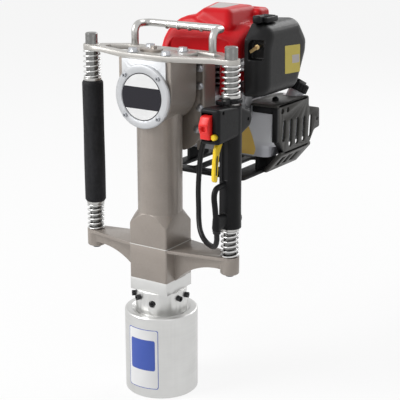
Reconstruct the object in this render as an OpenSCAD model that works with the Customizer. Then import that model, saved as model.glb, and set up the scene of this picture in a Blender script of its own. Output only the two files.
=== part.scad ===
// Petrol post driver: a two-handed percussive driver that stands on its driving cup.
// The origin is on the column's axis at the cup's rim and +Z runs up the column. The round
// front cover faces -Y, the engine sits behind at +Y and the throttle handle is at +X.

/* [Driving cup] */
// Bore of the socket that goes over the post
socket_d = 102; // [82:1:125]
// Wall of the cup around the socket
cup_wall = 9; // [6:0.5:14]
// Depth of the socket from its rim to its shoulder
socket_depth = 104; // [80:1:130]
// Thickness of the cup's closed end
cup_end = 28; // [20:1:40]

/* [Anvil and neck] */
// Diameter of the round neck above the cup
neck_d = 84; // [72:1:100]
// Visible height of the round neck
neck_h = 35; // [28:1:45]
// Height of the square flange on top of the neck
flange_h = 20.7; // [17:0.1:26]
// Shank diameter of the anvil
anvil_d = 49.9; // [41:0.1:56]
// How far the anvil lifts when the post pushes it
anvil_travel = 7.5; // [4:0.5:9]

/* [Column] */
// Width of the square blocks and diameter of the round tube
column_w = 72; // [68:1:86]
// Height of the lower block that carries the arms
lower_block_h = 56.3; // [48:0.1:68]
// Thickness of the gasket between the blocks
gasket_t = 1.2; // [0.8:0.1:2]
// Height of the upper block's full square
upper_block_h = 31.8; // [26:0.1:38]
// Height of the cone that blends the square into the tube
blend_h = 21; // [17:1:25]
// Height from the blend to the crank axis
tube_h = 191; // [160:1:230]
// Bore of the cylinder liner
ram_d = 56; // [52:0.1:57]

/* [Crankcase] */
// Outside radius of the crankcase drum
case_r = 47; // [45:1:50]
// Height of the flat mounting pad above the crank axis
case_top = 56; // [52:1:64]
// Radius of the round front cover
cover_r = 50; // [46:1:52]
// Centre distance of the reduction gears
gear_centres = 45; // [42:1:48]

/* [Top plate and handles] */
// Distance between the two guide rods
rod_spacing = 264; // [240:1:310]
// Diameter of the guide rods
rod_d = 20; // [18:1:22]
// Thickness of the top plate
plate_t = 8; // [6:0.5:10]
// Diameter of the bar of the carry handle
carry_d = 12; // [10:0.5:14]
// Height of the carry handle's bar above the top plate
carry_h = 32; // [27:1:38]
// Width of the carry handle between leg centres
carry_w = 148; // [124:1:160]
// Length of each lower spring at rest
lower_spring_h = 43; // [36:1:51]
// Length of each upper spring at rest
upper_spring_h = 45; // [38:1:54]
// Diameter of the spring wire
spring_wire = 3; // [2.5:0.1:3.3]
// Travel of each handle up and down from rest
handle_travel = 12; // [8:1:14]
// Outside diameter of the left rubber grip
grip_d = 35; // [30:1:42]

/* [Engine] */
// Distance from the column's axis to the engine's front face
engine_y = 84; // [80:1:100]
// Length of the engine's crankcase along the shaft
engine_len = 138; // [130:1:160]
// Outside of the engine's right side, from the shaft's axis
engine_right = 130; // [126:1:150]
// Outside of the muffler's shield, from the shaft's axis
engine_left = 106; // [100:1:120]
// Wall of the moulded covers and the fuel tank
cover_wall = 2.5; // [2:0.1:3.5]
// Outside diameter of the throttle cable
cable_d = 8.5; // [7:0.1:9.5]

/* [Hidden] */
$fn = 48;

// Clearances
run_fit = 0.05;
seat_gap = 0.3;

// Heights, each on top of the last
cup_d = socket_d + 2 * cup_wall;
nose_room = 8;
cup_h = socket_depth + nose_room + cup_end;
spigot_h = 10;
z_flange = cup_h + neck_h;
z_block = z_flange + flange_h;
z_gasket = z_block + lower_block_h;
z_upper = z_gasket + gasket_t;
z_blend = z_upper + upper_block_h;
z_tube = z_blend + blend_h;
z_crank = z_tube + tube_h;
z_plate = z_crank + case_top;
z_plate_top = z_plate + plate_t;
z_shaft = z_crank - gear_centres;

// Column
half_w = column_w / 2;
liner_wall = 3;
liner_r = ram_d / 2 + liner_wall;
anvil_r = anvil_d / 2;
shoulder_r = anvil_r + 7;
shoulder_h = 12;
z_shoulder = z_flange;
anvil_top = z_gasket + 6;
ram_h = 50;
buffer_h = 6;
z_buffer = anvil_top + anvil_travel + 0.5 - buffer_h;
z_ram = z_buffer + buffer_h + seat_gap;
crank_throw = 22;
rod_length = 90;
z_wrist = z_crank - crank_throw - rod_length;

// Crankcase stations along Y
case_front = -38;
case_back = 33;
wall_back = 42;
housing_back = engine_y;
case_bore_r = case_r - 5;
gear_y = 48;
gear_t = 10;

// Guide rods and handles
rod_x = rod_spacing / 2;
rod_r = rod_d / 2;
boss_r = rod_r + 5;
rod_seat = 5;
arm_flange_t = 5;
rod_stub = 19;
plate_boss_r = rod_r + 3.5;
grip_wall = 3;
tube_r = rod_r + grip_wall;
spring_r = rod_r + 1.5 + spring_wire / 2;
collar_r = spring_r + spring_wire / 2;
z_grip_low = z_gasket + lower_spring_h;
z_grip_high = z_plate - upper_spring_h;
spring_turns = 5;
spring_sides = 6;
spring_rings = 8;
shell_w = 33;
shell_grip_r = 17;
trigger_reach = 55;
pin_r = 2;
z_shell_top = z_grip_high - 12;
z_shell_low = z_grip_low + 5;
z_switch_low = z_shell_top - 54;
switch_pivot = [5 - trigger_reach, z_shell_top - 26.5];

// Throttle cable: points chosen by hand from the sleeve under the grip to the carburettor
cable_x = 132;
cable_y = -38;
cable_route = [
    [132, -38, 298], [132, -38, 293], [132, -38, 288], [129, -36, 280], [122, -31, 274], [111, -22, 271],
    [98, -12, 270], [84, -2, 273], [72, 7, 282], [65, 14, 296], [62, 18, 312], [60, 20, 343],
    [61, 21, 373], [63, 23, 402], [66, 30, 426], [71, 44, 444], [75, 62, 454], [76, 76, 457], [76, 82, 457],
    [76, 88, 457]
];
cable_end = cable_route[len(cable_route) - 1];

// Engine
z_tank_top = z_shaft + 8;
z_tank_low = z_shaft - 78;
z_tank_step = z_shaft - 58;
z_pan = z_shaft - 106;
z_hood = z_shaft + 28;
z_hood_top = z_shaft + 126;
z_dome = z_shaft + 168;
engine_back = engine_y + engine_len;
cylinder_y = engine_y + 70;
fin_n = 7;
fin_step = 9;
fin_t = 3;
z_fin = z_shaft + 44;
z_fin_top = z_fin + (fin_n - 1) * fin_step + fin_t;
flywheel_r = 44;
pulley_r = 30;
recoil_r = 54;
rope_d = 4;

casting = [0.62, 0.57, 0.53];
steel = [0.75, 0.75, 0.76];
dark_steel = [0.2, 0.2, 0.21];
black_plastic = [0.13, 0.13, 0.14];

// ---------- Shared shapes ----------

// A cylinder with a chamfer on either end, standing on z = 0.
module bar(r, h, low = 0, high = 0) {
    rotate_extrude()
        polygon([[0, 0], [r - low, 0], [r, low], [r, h - high], [r - high, h], [0, h]]);
}

// A cylinder along +Y that starts at y0.
module bar_y(r, y0, y1, x = 0, z = 0) {
    translate([x, y0, z]) rotate([-90, 0, 0]) cylinder(r = r, h = y1 - y0);
}

// A cylinder along +X that starts at x0.
module bar_x(r, x0, x1, y, z) {
    translate([x0, y, z]) rotate([0, 90, 0]) cylinder(r = r, h = x1 - x0);
}

// A flat outline in X and Z, thickened from y0 to y1.
module slab_y(y0, y1) {
    translate([0, y1, 0]) rotate([90, 0, 0]) linear_extrude(y1 - y0) children();
}

// A flat outline in Y and Z, thickened from x0 to x1.
module slab_x(x0, x1) {
    translate([x0, 0, 0]) rotate([90, 0, 90]) linear_extrude(x1 - x0) children();
}

// A rectangle with round corners, from its low corner to its high corner.
module round_rect(low, high, r) {
    size = high - low;
    translate(low + [r, 0]) square([size[0] - 2 * r, size[1]]);
    translate(low + [0, r]) square([size[0], size[1] - 2 * r]);
    for (x = [low[0] + r, high[0] - r], y = [low[1] + r, high[1] - r]) translate([x, y]) circle(r);
}

// A box between two corners.
module block(low, high) {
    translate(low) cube(high - low);
}

// A box with rounded edges, between two corners.
module soft_block(low, high, r, sides = 20) {
    hull()
        for (x = [low[0] + r, high[0] - r], y = [low[1] + r, high[1] - r], z = [low[2] + r, high[2] - r])
            translate([x, y, z]) sphere(r, $fn = sides);
}

// A hexagon head with a washer under it, standing on z = 0.
module hex_bolt(af, head, shank_r, shank) {
    cylinder(r = af * 0.68, h = 1.2);
    cylinder(r = af / sqrt(3), h = head + 1.2, $fn = 6);
    translate([0, 0, -shank]) cylinder(r = shank_r, h = shank);
}

// Both sides of the machine.
module both_sides() {
    children();
    mirror([1, 0, 0]) children();
}

// A tube swept along points, with flat ends. Each ring is square to the bisector of its neighbours.
function unit(v) = v / norm(v);
function tangent(path, i) = unit(path[min(i + 1, len(path) - 1)] - path[max(i - 1, 0)]);
function side_of(t, up) = unit(cross(t, up));
function ring(centre, t, r, sides, up) =
    let (u = side_of(t, up), v = cross(t, u))
    [for (k = [0:sides - 1]) centre + r * (cos(360 * k / sides) * u + sin(360 * k / sides) * v)];
module swept_tube(path, r, sides, ups) {
    n = len(path);
    points = [for (i = [0:n - 1]) each ring(path[i], tangent(path, i), r, sides, ups[i])];
    walls = [for (i = [0:n - 2], k = [0:sides - 1], half = [0, 1])
        let (a = i * sides + k, b = i * sides + (k + 1) % sides)
        half == 0 ? [a, b, b + sides] : [a, b + sides, a + sides]];
    low_cap = [for (k = [1:sides - 2]) [0, k + 1, k]];
    top = (n - 1) * sides;
    high_cap = [for (k = [1:sides - 2]) [top, top + k, top + k + 1]];
    polyhedron(points, concat(low_cap, walls, high_cap), convexity = 10);
}

// Points between the route's own points, on a smooth curve through them.
function blend_point(a, b, c, d, t) =
    0.5 * ((2 * b) + (c - a) * t + (2 * a - 5 * b + 4 * c - d) * t * t + (3 * b - a - 3 * c + d) * t * t * t);
function smooth(route, steps) =
    let (n = len(route))
    concat([for (i = [0:n - 2], s = [0:steps - 1])
        blend_point(route[max(i - 1, 0)], route[i], route[i + 1], route[min(i + 2, n - 1)], s / steps)],
        [route[n - 1]]);

// ---------- Driving cup, neck and anvil ----------

module driving_cup() {
    cup_hole_r = anvil_r + 0.6;
    dish_r = neck_d / 2 + 5;
    color("silver") difference() {
        bar(cup_d / 2, cup_h, 2, 2);
        cylinder(r = socket_d / 2, h = 2 * socket_depth, center = true);
        cylinder(r = socket_d / 2 - 5, h = socket_depth + nose_room);
        cylinder(r = cup_hole_r, h = cup_h + 1);
        translate([0, 0, cup_h - 4]) cylinder(r1 = dish_r - 2, r2 = dish_r + 2, h = 4.01);
        translate([0, 0, cup_h - spigot_h]) cylinder(r = neck_d / 2 + run_fit, h = spigot_h + 1);
    }
}

// Radial screws around the neck: three pairs with proud heads and three sunk ones.
proud_angles = [-139, -111, -14, 14, 106, 134];
sunk_angles = [-75, 45, 165];
screw_r = 2.5;
screw_grip = 9;
z_proud = z_flange - 10;
z_sunk = z_flange - 17;

module radial(angle, z) {
    translate([0, 0, z]) rotate([0, 90, angle]) children();
}

module neck_collar() {
    neck_r = neck_d / 2;
    color([0.82, 0.82, 0.82]) difference() {
        union() {
            translate([0, 0, cup_h - spigot_h]) cylinder(r = neck_r, h = neck_h + spigot_h);
            translate([0, 0, z_flange]) linear_extrude(flange_h)
                round_rect([-half_w, -half_w], [half_w, half_w], 2);
        }
        translate([0, 0, cup_h - spigot_h - 1]) cylinder(r = anvil_r + run_fit, h = neck_h + flange_h + 20);
        translate([0, 0, z_shoulder - 0.3]) cylinder(r = shoulder_r + 1, h = flange_h + 1);
        for (a = proud_angles) radial(a, z_proud)
            translate([0, 0, neck_r - screw_grip]) cylinder(r = screw_r + run_fit, h = 20);
        for (a = sunk_angles) radial(a, z_sunk) {
            translate([0, 0, neck_r - screw_grip]) cylinder(r = screw_r + run_fit, h = 20);
            translate([0, 0, neck_r - 5]) cylinder(r = 6, h = 20);
        }
    }
}

module cap_screw(head_r, head_h, shank_r, shank) {
    difference() {
        union() {
            cylinder(r = head_r, h = head_h);
            translate([0, 0, -shank]) cylinder(r = shank_r, h = shank);
        }
        translate([0, 0, head_h - 2.5]) cylinder(r = head_r * 0.55, h = 3, $fn = 6);
    }
}

module neck_screws() {
    neck_r = neck_d / 2;
    color(dark_steel) {
        for (a = proud_angles) radial(a, z_proud)
            translate([0, 0, neck_r]) cap_screw(4.5, 6, screw_r, screw_grip);
        for (a = sunk_angles) radial(a, z_sunk)
            translate([0, 0, neck_r - 5]) cap_screw(4.5, 4.5, screw_r, screw_grip - 5);
    }
}

module anvil() {
    nose = socket_depth + 0.3;
    color(steel) {
        translate([0, 0, nose]) bar(anvil_r, anvil_top - nose, 2, 2);
        translate([0, 0, z_shoulder]) cylinder(r = shoulder_r, h = shoulder_h);
    }
}

// ---------- Column ----------

// Plan of one arm: as wide as the block at its root and drawn in to the rod boss.
module arm_plan() {
    polygon([[0, -half_w + 2], [half_w, -half_w + 2], [rod_x, -boss_r], [rod_x, boss_r],
        [half_w, half_w - 2], [0, half_w - 2]]);
    translate([rod_x, 0]) circle(boss_r);
}

// Web under an arm, with an arched underside that starts at the foot of the block.
module arm_web() {
    web_w = 2 * boss_r - 4;
    arch_start = half_w + 2;
    arch_end = rod_x - boss_r + 1;
    arch_rise = lower_block_h - 20;
    run = arch_end - arch_start;
    arch_r = (run * run + arch_rise * arch_rise) / (2 * arch_rise);
    z_arch = z_gasket - 20;
    difference() {
        slab_y(-web_w / 2, web_w / 2)
            polygon([[0, z_block], [rod_x, z_block], [rod_x, z_gasket - 1], [0, z_gasket - 1]]);
        bar_y(arch_r, -web_w, web_w, arch_end, z_arch - arch_r);
        translate([arch_end, -web_w, z_block - 1]) cube([rod_x, 2 * web_w, z_arch - z_block + 1]);
    }
}

module lower_casting() {
    boss_h = 28.5;
    color(casting) difference() {
        union() {
            translate([0, 0, z_block]) linear_extrude(lower_block_h)
                round_rect([-half_w, -half_w], [half_w, half_w], 3);
            both_sides() {
                translate([0, 0, z_gasket - arm_flange_t]) linear_extrude(arm_flange_t) arm_plan();
                arm_web();
                translate([rod_x, 0, z_gasket - boss_h]) bar(boss_r, boss_h, 1.5, 0);
            }
        }
        translate([0, 0, z_block - 1]) cylinder(r = anvil_r + run_fit, h = lower_block_h + 2);
        translate([0, 0, z_block - 1]) cylinder(r = shoulder_r + 1, h = 6);
        both_sides() translate([rod_x, 0, 0]) {
            translate([0, 0, z_gasket - boss_h + rod_seat]) cylinder(r = rod_r + run_fit, h = boss_h);
            translate([0, 0, z_gasket - boss_h - 1]) cylinder(r = 4.3, h = boss_h);
        }
    }
}

module casting_gasket() {
    color("gainsboro") difference() {
        translate([0, 0, z_gasket]) linear_extrude(gasket_t)
            round_rect([-half_w - 0.6, -half_w - 0.6], [half_w + 0.6, half_w + 0.6], 3);
        translate([0, 0, z_gasket - 1]) cylinder(r = anvil_r + 1, h = gasket_t + 2);
    }
}

// Outline of the crankcase in X and Z: a drum with a square pad on top.
module case_outline(r) {
    translate([0, z_crank]) circle(r);
    translate([-r, z_crank]) square([2 * r, case_top]);
}

module upper_casting() {
    corner_r = half_w * sqrt(2);
    color(casting) difference() {
        union() {
            intersection() {
                translate([0, 0, z_upper]) linear_extrude(z_tube - z_upper)
                    round_rect([-half_w, -half_w], [half_w, half_w], 3);
                translate([0, 0, z_upper]) union() {
                    cylinder(r = corner_r, h = upper_block_h, $fn = 96);
                    translate([0, 0, upper_block_h]) cylinder(r1 = corner_r, r2 = half_w, h = blend_h, $fn = 96);
                }
            }
            translate([0, 0, z_blend]) cylinder(r = half_w, h = z_crank - z_blend);
            slab_y(case_front, case_back) case_outline(case_r);
            slab_y(case_back, wall_back) case_outline(case_r - 5);
            slab_y(case_front, case_front + 5) case_outline(case_r + 1.5);
        }
        translate([0, 0, z_upper - 1]) cylinder(r = liner_r + run_fit, h = z_crank - z_upper);
        bar_y(case_bore_r, case_front - 1, 22, 0, z_crank);
        bar_y(17.5, 20, wall_back + 1, 0, z_crank);
    }
}

module cylinder_liner() {
    liner_top = z_crank - case_bore_r - 5;
    color(steel) translate([0, 0, z_upper]) difference() {
        cylinder(r = liner_r, h = liner_top - z_upper);
        translate([0, 0, -1]) cylinder(r = ram_d / 2, h = liner_top - z_upper + 2);
    }
}

module ram() {
    color(steel) translate([0, 0, z_ram]) bar(ram_d / 2 - run_fit, ram_h, 2, 2);
}

// Rubber ring that the ram rests on when the anvil is down.
module ram_buffer() {
    color("dimgray") translate([0, 0, z_buffer]) difference() {
        cylinder(r = ram_d / 2, h = buffer_h);
        translate([0, 0, -1]) cylinder(r = ram_d / 2 - 2, h = buffer_h + 2);
    }
}

// ---------- Crank drive ----------

module drive_piston() {
    color([0.7, 0.7, 0.72]) difference() {
        translate([0, 0, z_wrist - 25]) bar(ram_d / 2 - run_fit, 42, 1, 1);
        translate([-13, -8, z_wrist - 13]) cube([26, 16, 40]);
        bar_y(5 + run_fit, -40, 40, 0, z_wrist);
    }
}

module wrist_pin() {
    color(steel) bar_y(5, 1 - ram_d / 2, ram_d / 2 - 1, 0, z_wrist);
}

module connecting_rod() {
    color([0.55, 0.55, 0.57]) difference() {
        union() {
            bar_y(9.5, -6, 6, 0, z_wrist);
            bar_y(12.5, -6, 6, 0, z_wrist + rod_length);
            slab_y(-3, 3) polygon([[-7, z_wrist], [7, z_wrist], [9, z_wrist + rod_length], [-9, z_wrist + rod_length]]);
        }
        bar_y(5 + run_fit, -7, 7, 0, z_wrist);
        bar_y(7 + run_fit, -7, 7, 0, z_wrist + rod_length);
    }
}

// The crank stands at the bottom of its stroke.
module crankshaft() {
    color(steel) {
        bar_y(7, -7, 8, 0, z_crank - crank_throw);
        bar_y(34, 8, 17, 0, z_crank);
        bar_y(8.5, 16, gear_y + gear_t + 2, 0, z_crank);
    }
}

module crank_bearing() {
    color("lightgray") difference() {
        bar_y(17.5 - run_fit, 22.5, wall_back - 1, 0, z_crank);
        bar_y(8.5 + run_fit, 10, wall_back + 5, 0, z_crank);
    }
}

// Outline of a spur gear: straight-sided teeth with room to run.
function gear_points(teeth, module_mm, turn) =
    let (root = module_mm * (teeth / 2 - 1.3), tip = module_mm * (teeth / 2 + 0.85), pitch = 360 / teeth)
    [for (i = [0:teeth - 1], p = [[root, -0.32], [tip, -0.12], [tip, 0.12], [root, 0.32]])
        let (a = (i + p[1]) * pitch + turn) p[0] * [cos(a), sin(a)]];

gear_teeth = 48;
pinion_teeth = 12;
gear_module = 2 * gear_centres / (gear_teeth + pinion_teeth);

module reduction_gear() {
    color([0.5, 0.5, 0.52]) difference() {
        slab_y(gear_y, gear_y + gear_t) translate([0, z_crank])
            polygon(gear_points(gear_teeth, gear_module, 0));
        bar_y(8.5 + run_fit, gear_y - 1, gear_y + gear_t + 1, 0, z_crank);
        for (a = [0:60:300])
            bar_y(6, gear_y - 1, gear_y + gear_t + 1, 22 * cos(a), z_crank + 22 * sin(a));
    }
}

// ---------- Front cover and top plate ----------

module front_cover() {
    lip = 3;
    rim = 6.5;
    label_r = cover_r - 12;
    color([0.78, 0.79, 0.8]) difference() {
        union() {
            slab_y(case_front - lip, case_front) case_outline(case_r - 6);
            translate([0, case_front - lip, z_crank]) rotate([90, 0, 0]) bar(cover_r, rim, 0, 2);
            bar_y(case_bore_r - 0.3, case_front - 1, case_front + 6, 0, z_crank);
        }
        bar_y(label_r, case_front - lip - rim - 1, case_front - lip - rim + 1, 0, z_crank);
        bar_y(case_bore_r - 6, case_front - lip, case_front + 8, 0, z_crank);
        for (a = [45:90:315]) translate([44 * cos(a), case_front - lip - rim, z_crank + 44 * sin(a)])
            rotate([90, 0, 0]) cylinder(r = 2 + run_fit, h = 12, center = true);
    }
}

module front_cover_screws() {
    color(steel) for (a = [45:90:315])
        translate([44 * cos(a), case_front - 9.5, z_crank + 44 * sin(a)]) rotate([90, 0, 0])
            cap_screw(3.4, 2.6, 2, 5.5);
}

plate_front = case_front;
plate_back = 46;
window_back = 31;

module plate_outline() {
    front_w = 43;
    back_w = carry_w / 2 + 12;
    difference() {
        union() {
            polygon([[-front_w, plate_front], [front_w, plate_front], [rod_x - 26, -13], [rod_x, -plate_boss_r],
                [rod_x, plate_boss_r], [rod_x - 12, 24], [back_w, plate_back], [-back_w, plate_back],
                [12 - rod_x, 24], [-rod_x, plate_boss_r], [-rod_x, -plate_boss_r], [26 - rod_x, -13]]);
            for (x = [-rod_x, rod_x]) translate([x, 0]) circle(plate_boss_r);
        }
        both_sides() polygon([[52, -17], [rod_x - 32, -3], [rod_x - 24, 4], [rod_x - 26, 16],
            [back_w - 4, window_back], [52, window_back]]);
    }
}

module top_plate() {
    leg_y = plate_back - carry_d / 2 - 1;
    color([0.76, 0.73, 0.7]) difference() {
        union() {
            translate([0, 0, z_plate]) linear_extrude(plate_t) plate_outline();
            both_sides() translate([rod_x, 0, z_plate]) bar(plate_boss_r, plate_t + 1.5, 0, 1);
        }
        both_sides() translate([rod_x, 0, z_plate - 1]) cylinder(r = rod_r + run_fit, h = plate_t + 5);
        both_sides() translate([carry_w / 2, leg_y, z_plate - 1]) cylinder(r = carry_d / 2 + run_fit, h = 20);
        for (p = plate_bolt_places) translate([p[0], p[1], z_plate - 1]) cylinder(r = 4 + run_fit, h = plate_t + 2);
    }
}

plate_bolt_places = [[-31, -25], [31, -25], [-31, 21], [31, 21]];

module plate_bolts() {
    color([0.7, 0.73, 0.78]) for (p = plate_bolt_places)
        translate([p[0], p[1], z_plate_top]) hex_bolt(13, 5.3, 4, plate_t);
}

// Oval cover of the grease port, held by one hexagon plug.
module grease_cover() {
    color([0.66, 0.62, 0.58]) translate([-12, -3, z_plate_top]) {
        linear_extrude(4) {
            translate([-9, 0]) circle(11);
            translate([9, 0]) circle(11);
            translate([-9, -11]) square([18, 22]);
        }
        translate([5, 0, 4]) cylinder(r = 5.5, h = 4.5, $fn = 6);
    }
}

// A quarter bend of the handle's bar, from +X turning to +Y.
module bend(r) {
    rotate_extrude(angle = 90) translate([r, 0]) circle(carry_d / 2);
}

module carry_handle() {
    leg_y = plate_back - carry_d / 2 - 1;
    bar_y_pos = leg_y + 32;
    bend_r = 13;
    half = carry_w / 2;
    r = carry_d / 2;
    z_bar = z_plate_top + carry_h;
    color([0.85, 0.84, 0.83]) {
        both_sides() {
            translate([half, leg_y, z_plate]) cylinder(r = r, h = z_bar - bend_r - z_plate);
            translate([half, leg_y + bend_r, z_bar - bend_r]) rotate([90, 0, -90]) bend(bend_r);
            bar_y(r, leg_y + bend_r, bar_y_pos - bend_r, half, z_bar);
            translate([half - bend_r, bar_y_pos - bend_r, z_bar]) bend(bend_r);
        }
        translate([bend_r - half, bar_y_pos, z_bar]) rotate([0, 90, 0]) cylinder(r = r, h = carry_w - 2 * bend_r);
        for (k = [-2:2]) translate([k * 22 + 11, bar_y_pos, z_bar - 1.2]) rotate([0, 90, 0])
            translate([0, 0, -3]) bar(r + 0.8, 6, 2, 2);
    }
}

// ---------- Guide rods and springs ----------

module guide_rod() {
    z_low = z_gasket - 28.5 + rod_seat;
    color([0.8, 0.8, 0.81]) difference() {
        translate([0, 0, z_low]) bar(rod_r, z_plate_top + rod_stub - z_low, 1, 1.5);
        translate([0, 0, z_low - 1]) cylinder(r = 4 + run_fit, h = 19);
    }
}

module left_guide_rod() {
    translate([-rod_x, 0, 0]) guide_rod();
}

module right_guide_rod() {
    translate([rod_x, 0, 0]) guide_rod();
}

module rod_screws() {
    color(dark_steel) both_sides() translate([rod_x, 0, z_gasket - 28.5]) rotate([180, 0, 0])
        cap_screw(6.5, 4, 4, rod_seat + 15);
}

// Centre line of a spring between two seats, with a straight leg at either end.
function spring_path(z0, z1) =
    let (leg = spring_wire, low = z0 + leg + 2, high = z1 - leg - 2, n = spring_turns * spring_rings)
    concat([[spring_r, 0, z0], [spring_r, 0, z0 + leg], [spring_r * cos(8), spring_r * sin(8), z0 + leg + 1.4]],
        [for (i = [0:n]) let (a = 360 * i / spring_rings + 20)
            [spring_r * cos(a), spring_r * sin(a), low + (high - low) * i / n]],
        [let (a = 32) [spring_r * cos(a), spring_r * sin(a), z1 - leg - 1.4],
            let (a = 40) [spring_r * cos(a), spring_r * sin(a), z1 - leg],
            let (a = 40) [spring_r * cos(a), spring_r * sin(a), z1]]);
function outward(p) = unit([p[0], p[1], 0]);
module coil_spring(x, z0, z1) {
    path = spring_path(z0, z1);
    color("lightgray") translate([x, 0, 0])
        swept_tube(path, spring_wire / 2, spring_sides, [for (p = path) outward(p)]);
}

// Least gap between the wires of one spring, measured on points a half turn or more apart.
function spring_gap(z0, z1) =
    let (p = spring_path(z0, z1), n = len(p), apart = spring_rings / 2)
    min([for (i = [0:n - 1], j = [i + apart:n - 1]) norm(p[i] - p[j])]) - spring_wire;
echo(lower_spring_gap = spring_gap(z_gasket, z_grip_low), upper_spring_gap = spring_gap(z_grip_high, z_plate));

module left_lower_spring() {
    coil_spring(-rod_x, z_gasket, z_grip_low);
}

module left_upper_spring() {
    coil_spring(-rod_x, z_grip_high, z_plate);
}

module right_lower_spring() {
    coil_spring(rod_x, z_gasket, z_grip_low);
}

module right_upper_spring() {
    coil_spring(rod_x, z_grip_high, z_plate);
}

// ---------- Handles ----------

// Sliding tube with a bush fit at either end and relief between.
module grip_tube() {
    length = z_grip_high - z_grip_low;
    bush = 18;
    color([0.72, 0.72, 0.73]) difference() {
        translate([0, 0, z_grip_low]) bar(collar_r, length, 0.8, 0.8);
        translate([0, 0, z_grip_low + 5]) difference() {
            cylinder(r = tube_r + 5, h = length - 10);
            translate([0, 0, -1]) cylinder(r = tube_r, h = length);
        }
        translate([0, 0, z_grip_low - 1]) cylinder(r = rod_r + run_fit, h = length + 2);
        translate([0, 0, z_grip_low + bush]) cylinder(r = rod_r + 1, h = length - 2 * bush);
    }
}

module left_grip_tube() {
    translate([-rod_x, 0, 0]) grip_tube();
}

module left_grip_rubber() {
    length = z_grip_high - z_grip_low - 10;
    color(black_plastic) translate([-rod_x, 0, z_grip_low + 5]) difference() {
        bar(grip_d / 2, length, 1.5, 1.5);
        translate([0, 0, -1]) cylinder(r = tube_r + run_fit, h = length + 2);
    }
}

module right_grip_tube() {
    translate([rod_x, 0, 0]) grip_tube();
}

// The moulded right grip before it is split: switch housing, grip and flared finger guard.
module grip_form() {
    half_shell = shell_w / 2;
    round_r = 5;
    translate([rod_x, 0, 0]) {
        hull() {
            for (p = [[-trigger_reach + round_r, z_shell_top - round_r], [10, z_shell_top - round_r],
                [32, z_shell_top - 18], [27, z_shell_top - 38], [0, z_switch_low + 10],
                [-trigger_reach + round_r, z_switch_low + round_r]])
                for (x = [-1, 1]) translate([x * (half_shell - round_r), p[0], p[1]]) sphere(round_r, $fn = 16);
        }
        translate([0, 0, z_shell_low]) cylinder(r = shell_grip_r, h = z_shell_top - z_shell_low - 4);
        translate([0, 0, z_shell_low]) cylinder(r1 = shell_grip_r + 1, r2 = shell_grip_r, h = 30);
        hull() {
            translate([0, 0, z_shell_low]) cylinder(r = shell_grip_r, h = 14, $fn = 32);
            translate([0, 0, z_shell_low + 30]) cylinder(r = shell_grip_r - 1, h = 12, $fn = 32);
            translate([0, cable_y - 2, z_shell_low + 8]) cylinder(r = 8, h = 16, $fn = 24);
        }
        translate([0, shell_grip_r + 7, z_shell_low + 8]) rotate([90, 0, 90]) difference() {
            cylinder(r = 9, h = 6, center = true);
            cylinder(r = 4.5, h = 8, center = true);
        }
    }
}

// Room inside the grip for the rod's tube, the switch, the lock and the trigger.
module grip_room() {
    translate([rod_x, 0, z_shell_low - 5]) cylinder(r = tube_r + run_fit, h = z_shell_top - z_shell_low + 20);
    block([rod_x - 15, -trigger_reach - 1, z_switch_low + 7], [rod_x + 15, 9 - trigger_reach, z_shell_top - 6]);
    block([rod_x - 5.5, trigger_room_y, z_switch_low - 66], [rod_x + 5.5, -tube_r, z_switch_low + 13]);
    bar_x(pin_r + run_fit, rod_x - 15.9, rod_x + 15.9, switch_pivot[0], switch_pivot[1]);
    translate([cable_x, cable_y, z_shell_low]) cylinder(r = cable_d / 2 + 1.8 + run_fit, h = 18);
}

// One half of the grip. Each half carries half of the trigger's pin.
module grip_shell(low, high) {
    color(black_plastic) {
        difference() {
            intersection() {
                grip_form();
                block([low, -100, 0], [high, 100, z_plate]);
            }
            grip_room();
        }
        bar_x(pin_r, max(low, rod_x - 8), min(high, rod_x + 8), trigger_pivot[0], trigger_pivot[1]);
    }
}

module inner_grip_shell() {
    grip_shell(rod_x - 40, rod_x);
}

module outer_grip_shell() {
    grip_shell(rod_x, rod_x + 40);
}

module grip_ring_nut() {
    nut_r = 18;
    color(black_plastic) translate([rod_x, 0, z_shell_top]) difference() {
        bar(nut_r, 6.5, 0.5, 2);
        translate([0, 0, -1]) cylinder(r = tube_r + run_fit, h = 30);
        for (a = [0:30:330]) rotate([0, 0, a]) translate([nut_r + 1, 0, 2]) cylinder(r = 2.2, h = 10);
    }
}

// Rocker for stopping the engine, with a finger hollow in its face.
module kill_switch() {
    y_face = -trigger_reach;
    color([0.84, 0.13, 0.14]) difference() {
        union() {
            block([rod_x - 14.4, y_face - 8, z_switch_low + 8], [rod_x + 3, y_face + 6, z_shell_top - 12]);
            block([rod_x + 3, y_face - 10, z_switch_low + 20], [rod_x + 9, y_face + 4, z_shell_top - 12]);
            bar_x(pin_r, rod_x - 15.7, rod_x + 15.7, switch_pivot[0], switch_pivot[1]);
        }
        bar_x(7, rod_x - 10, rod_x + 1, y_face - 12, switch_pivot[1]);
    }
}

module throttle_lock() {
    color([0.95, 0.72, 0.12]) translate([rod_x + 9, 5.5 - trigger_reach, z_switch_low + 12.5])
        rotate([90, 0, 0]) bar(4.6, 14.5, 0, 1);
}

trigger_pivot = [-27, z_switch_low + 6];
trigger_room_y = trigger_pivot[0] - 14;

module throttle_trigger() {
    color([0.95, 0.8, 0.15]) translate([rod_x, 0, 0]) difference() {
        union() {
            bar_x(5.5, -4.8, 4.8, trigger_pivot[0], trigger_pivot[1]);
            slab_x(-4.8, 4.8) polygon([
                [-32, z_switch_low + 4], [-22, z_switch_low + 4], [-20, z_switch_low - 12],
                [-22, z_switch_low - 30], [-24, z_switch_low - 52], [-29, z_switch_low - 60],
                [-35, z_switch_low - 61], [-38, z_switch_low - 56], [-37, z_switch_low - 44],
                [-33, z_switch_low - 26], [-34, z_switch_low - 10]]);
        }
        bar_x(pin_r + run_fit, -6, 6, trigger_pivot[0], trigger_pivot[1]);
    }
}

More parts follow.
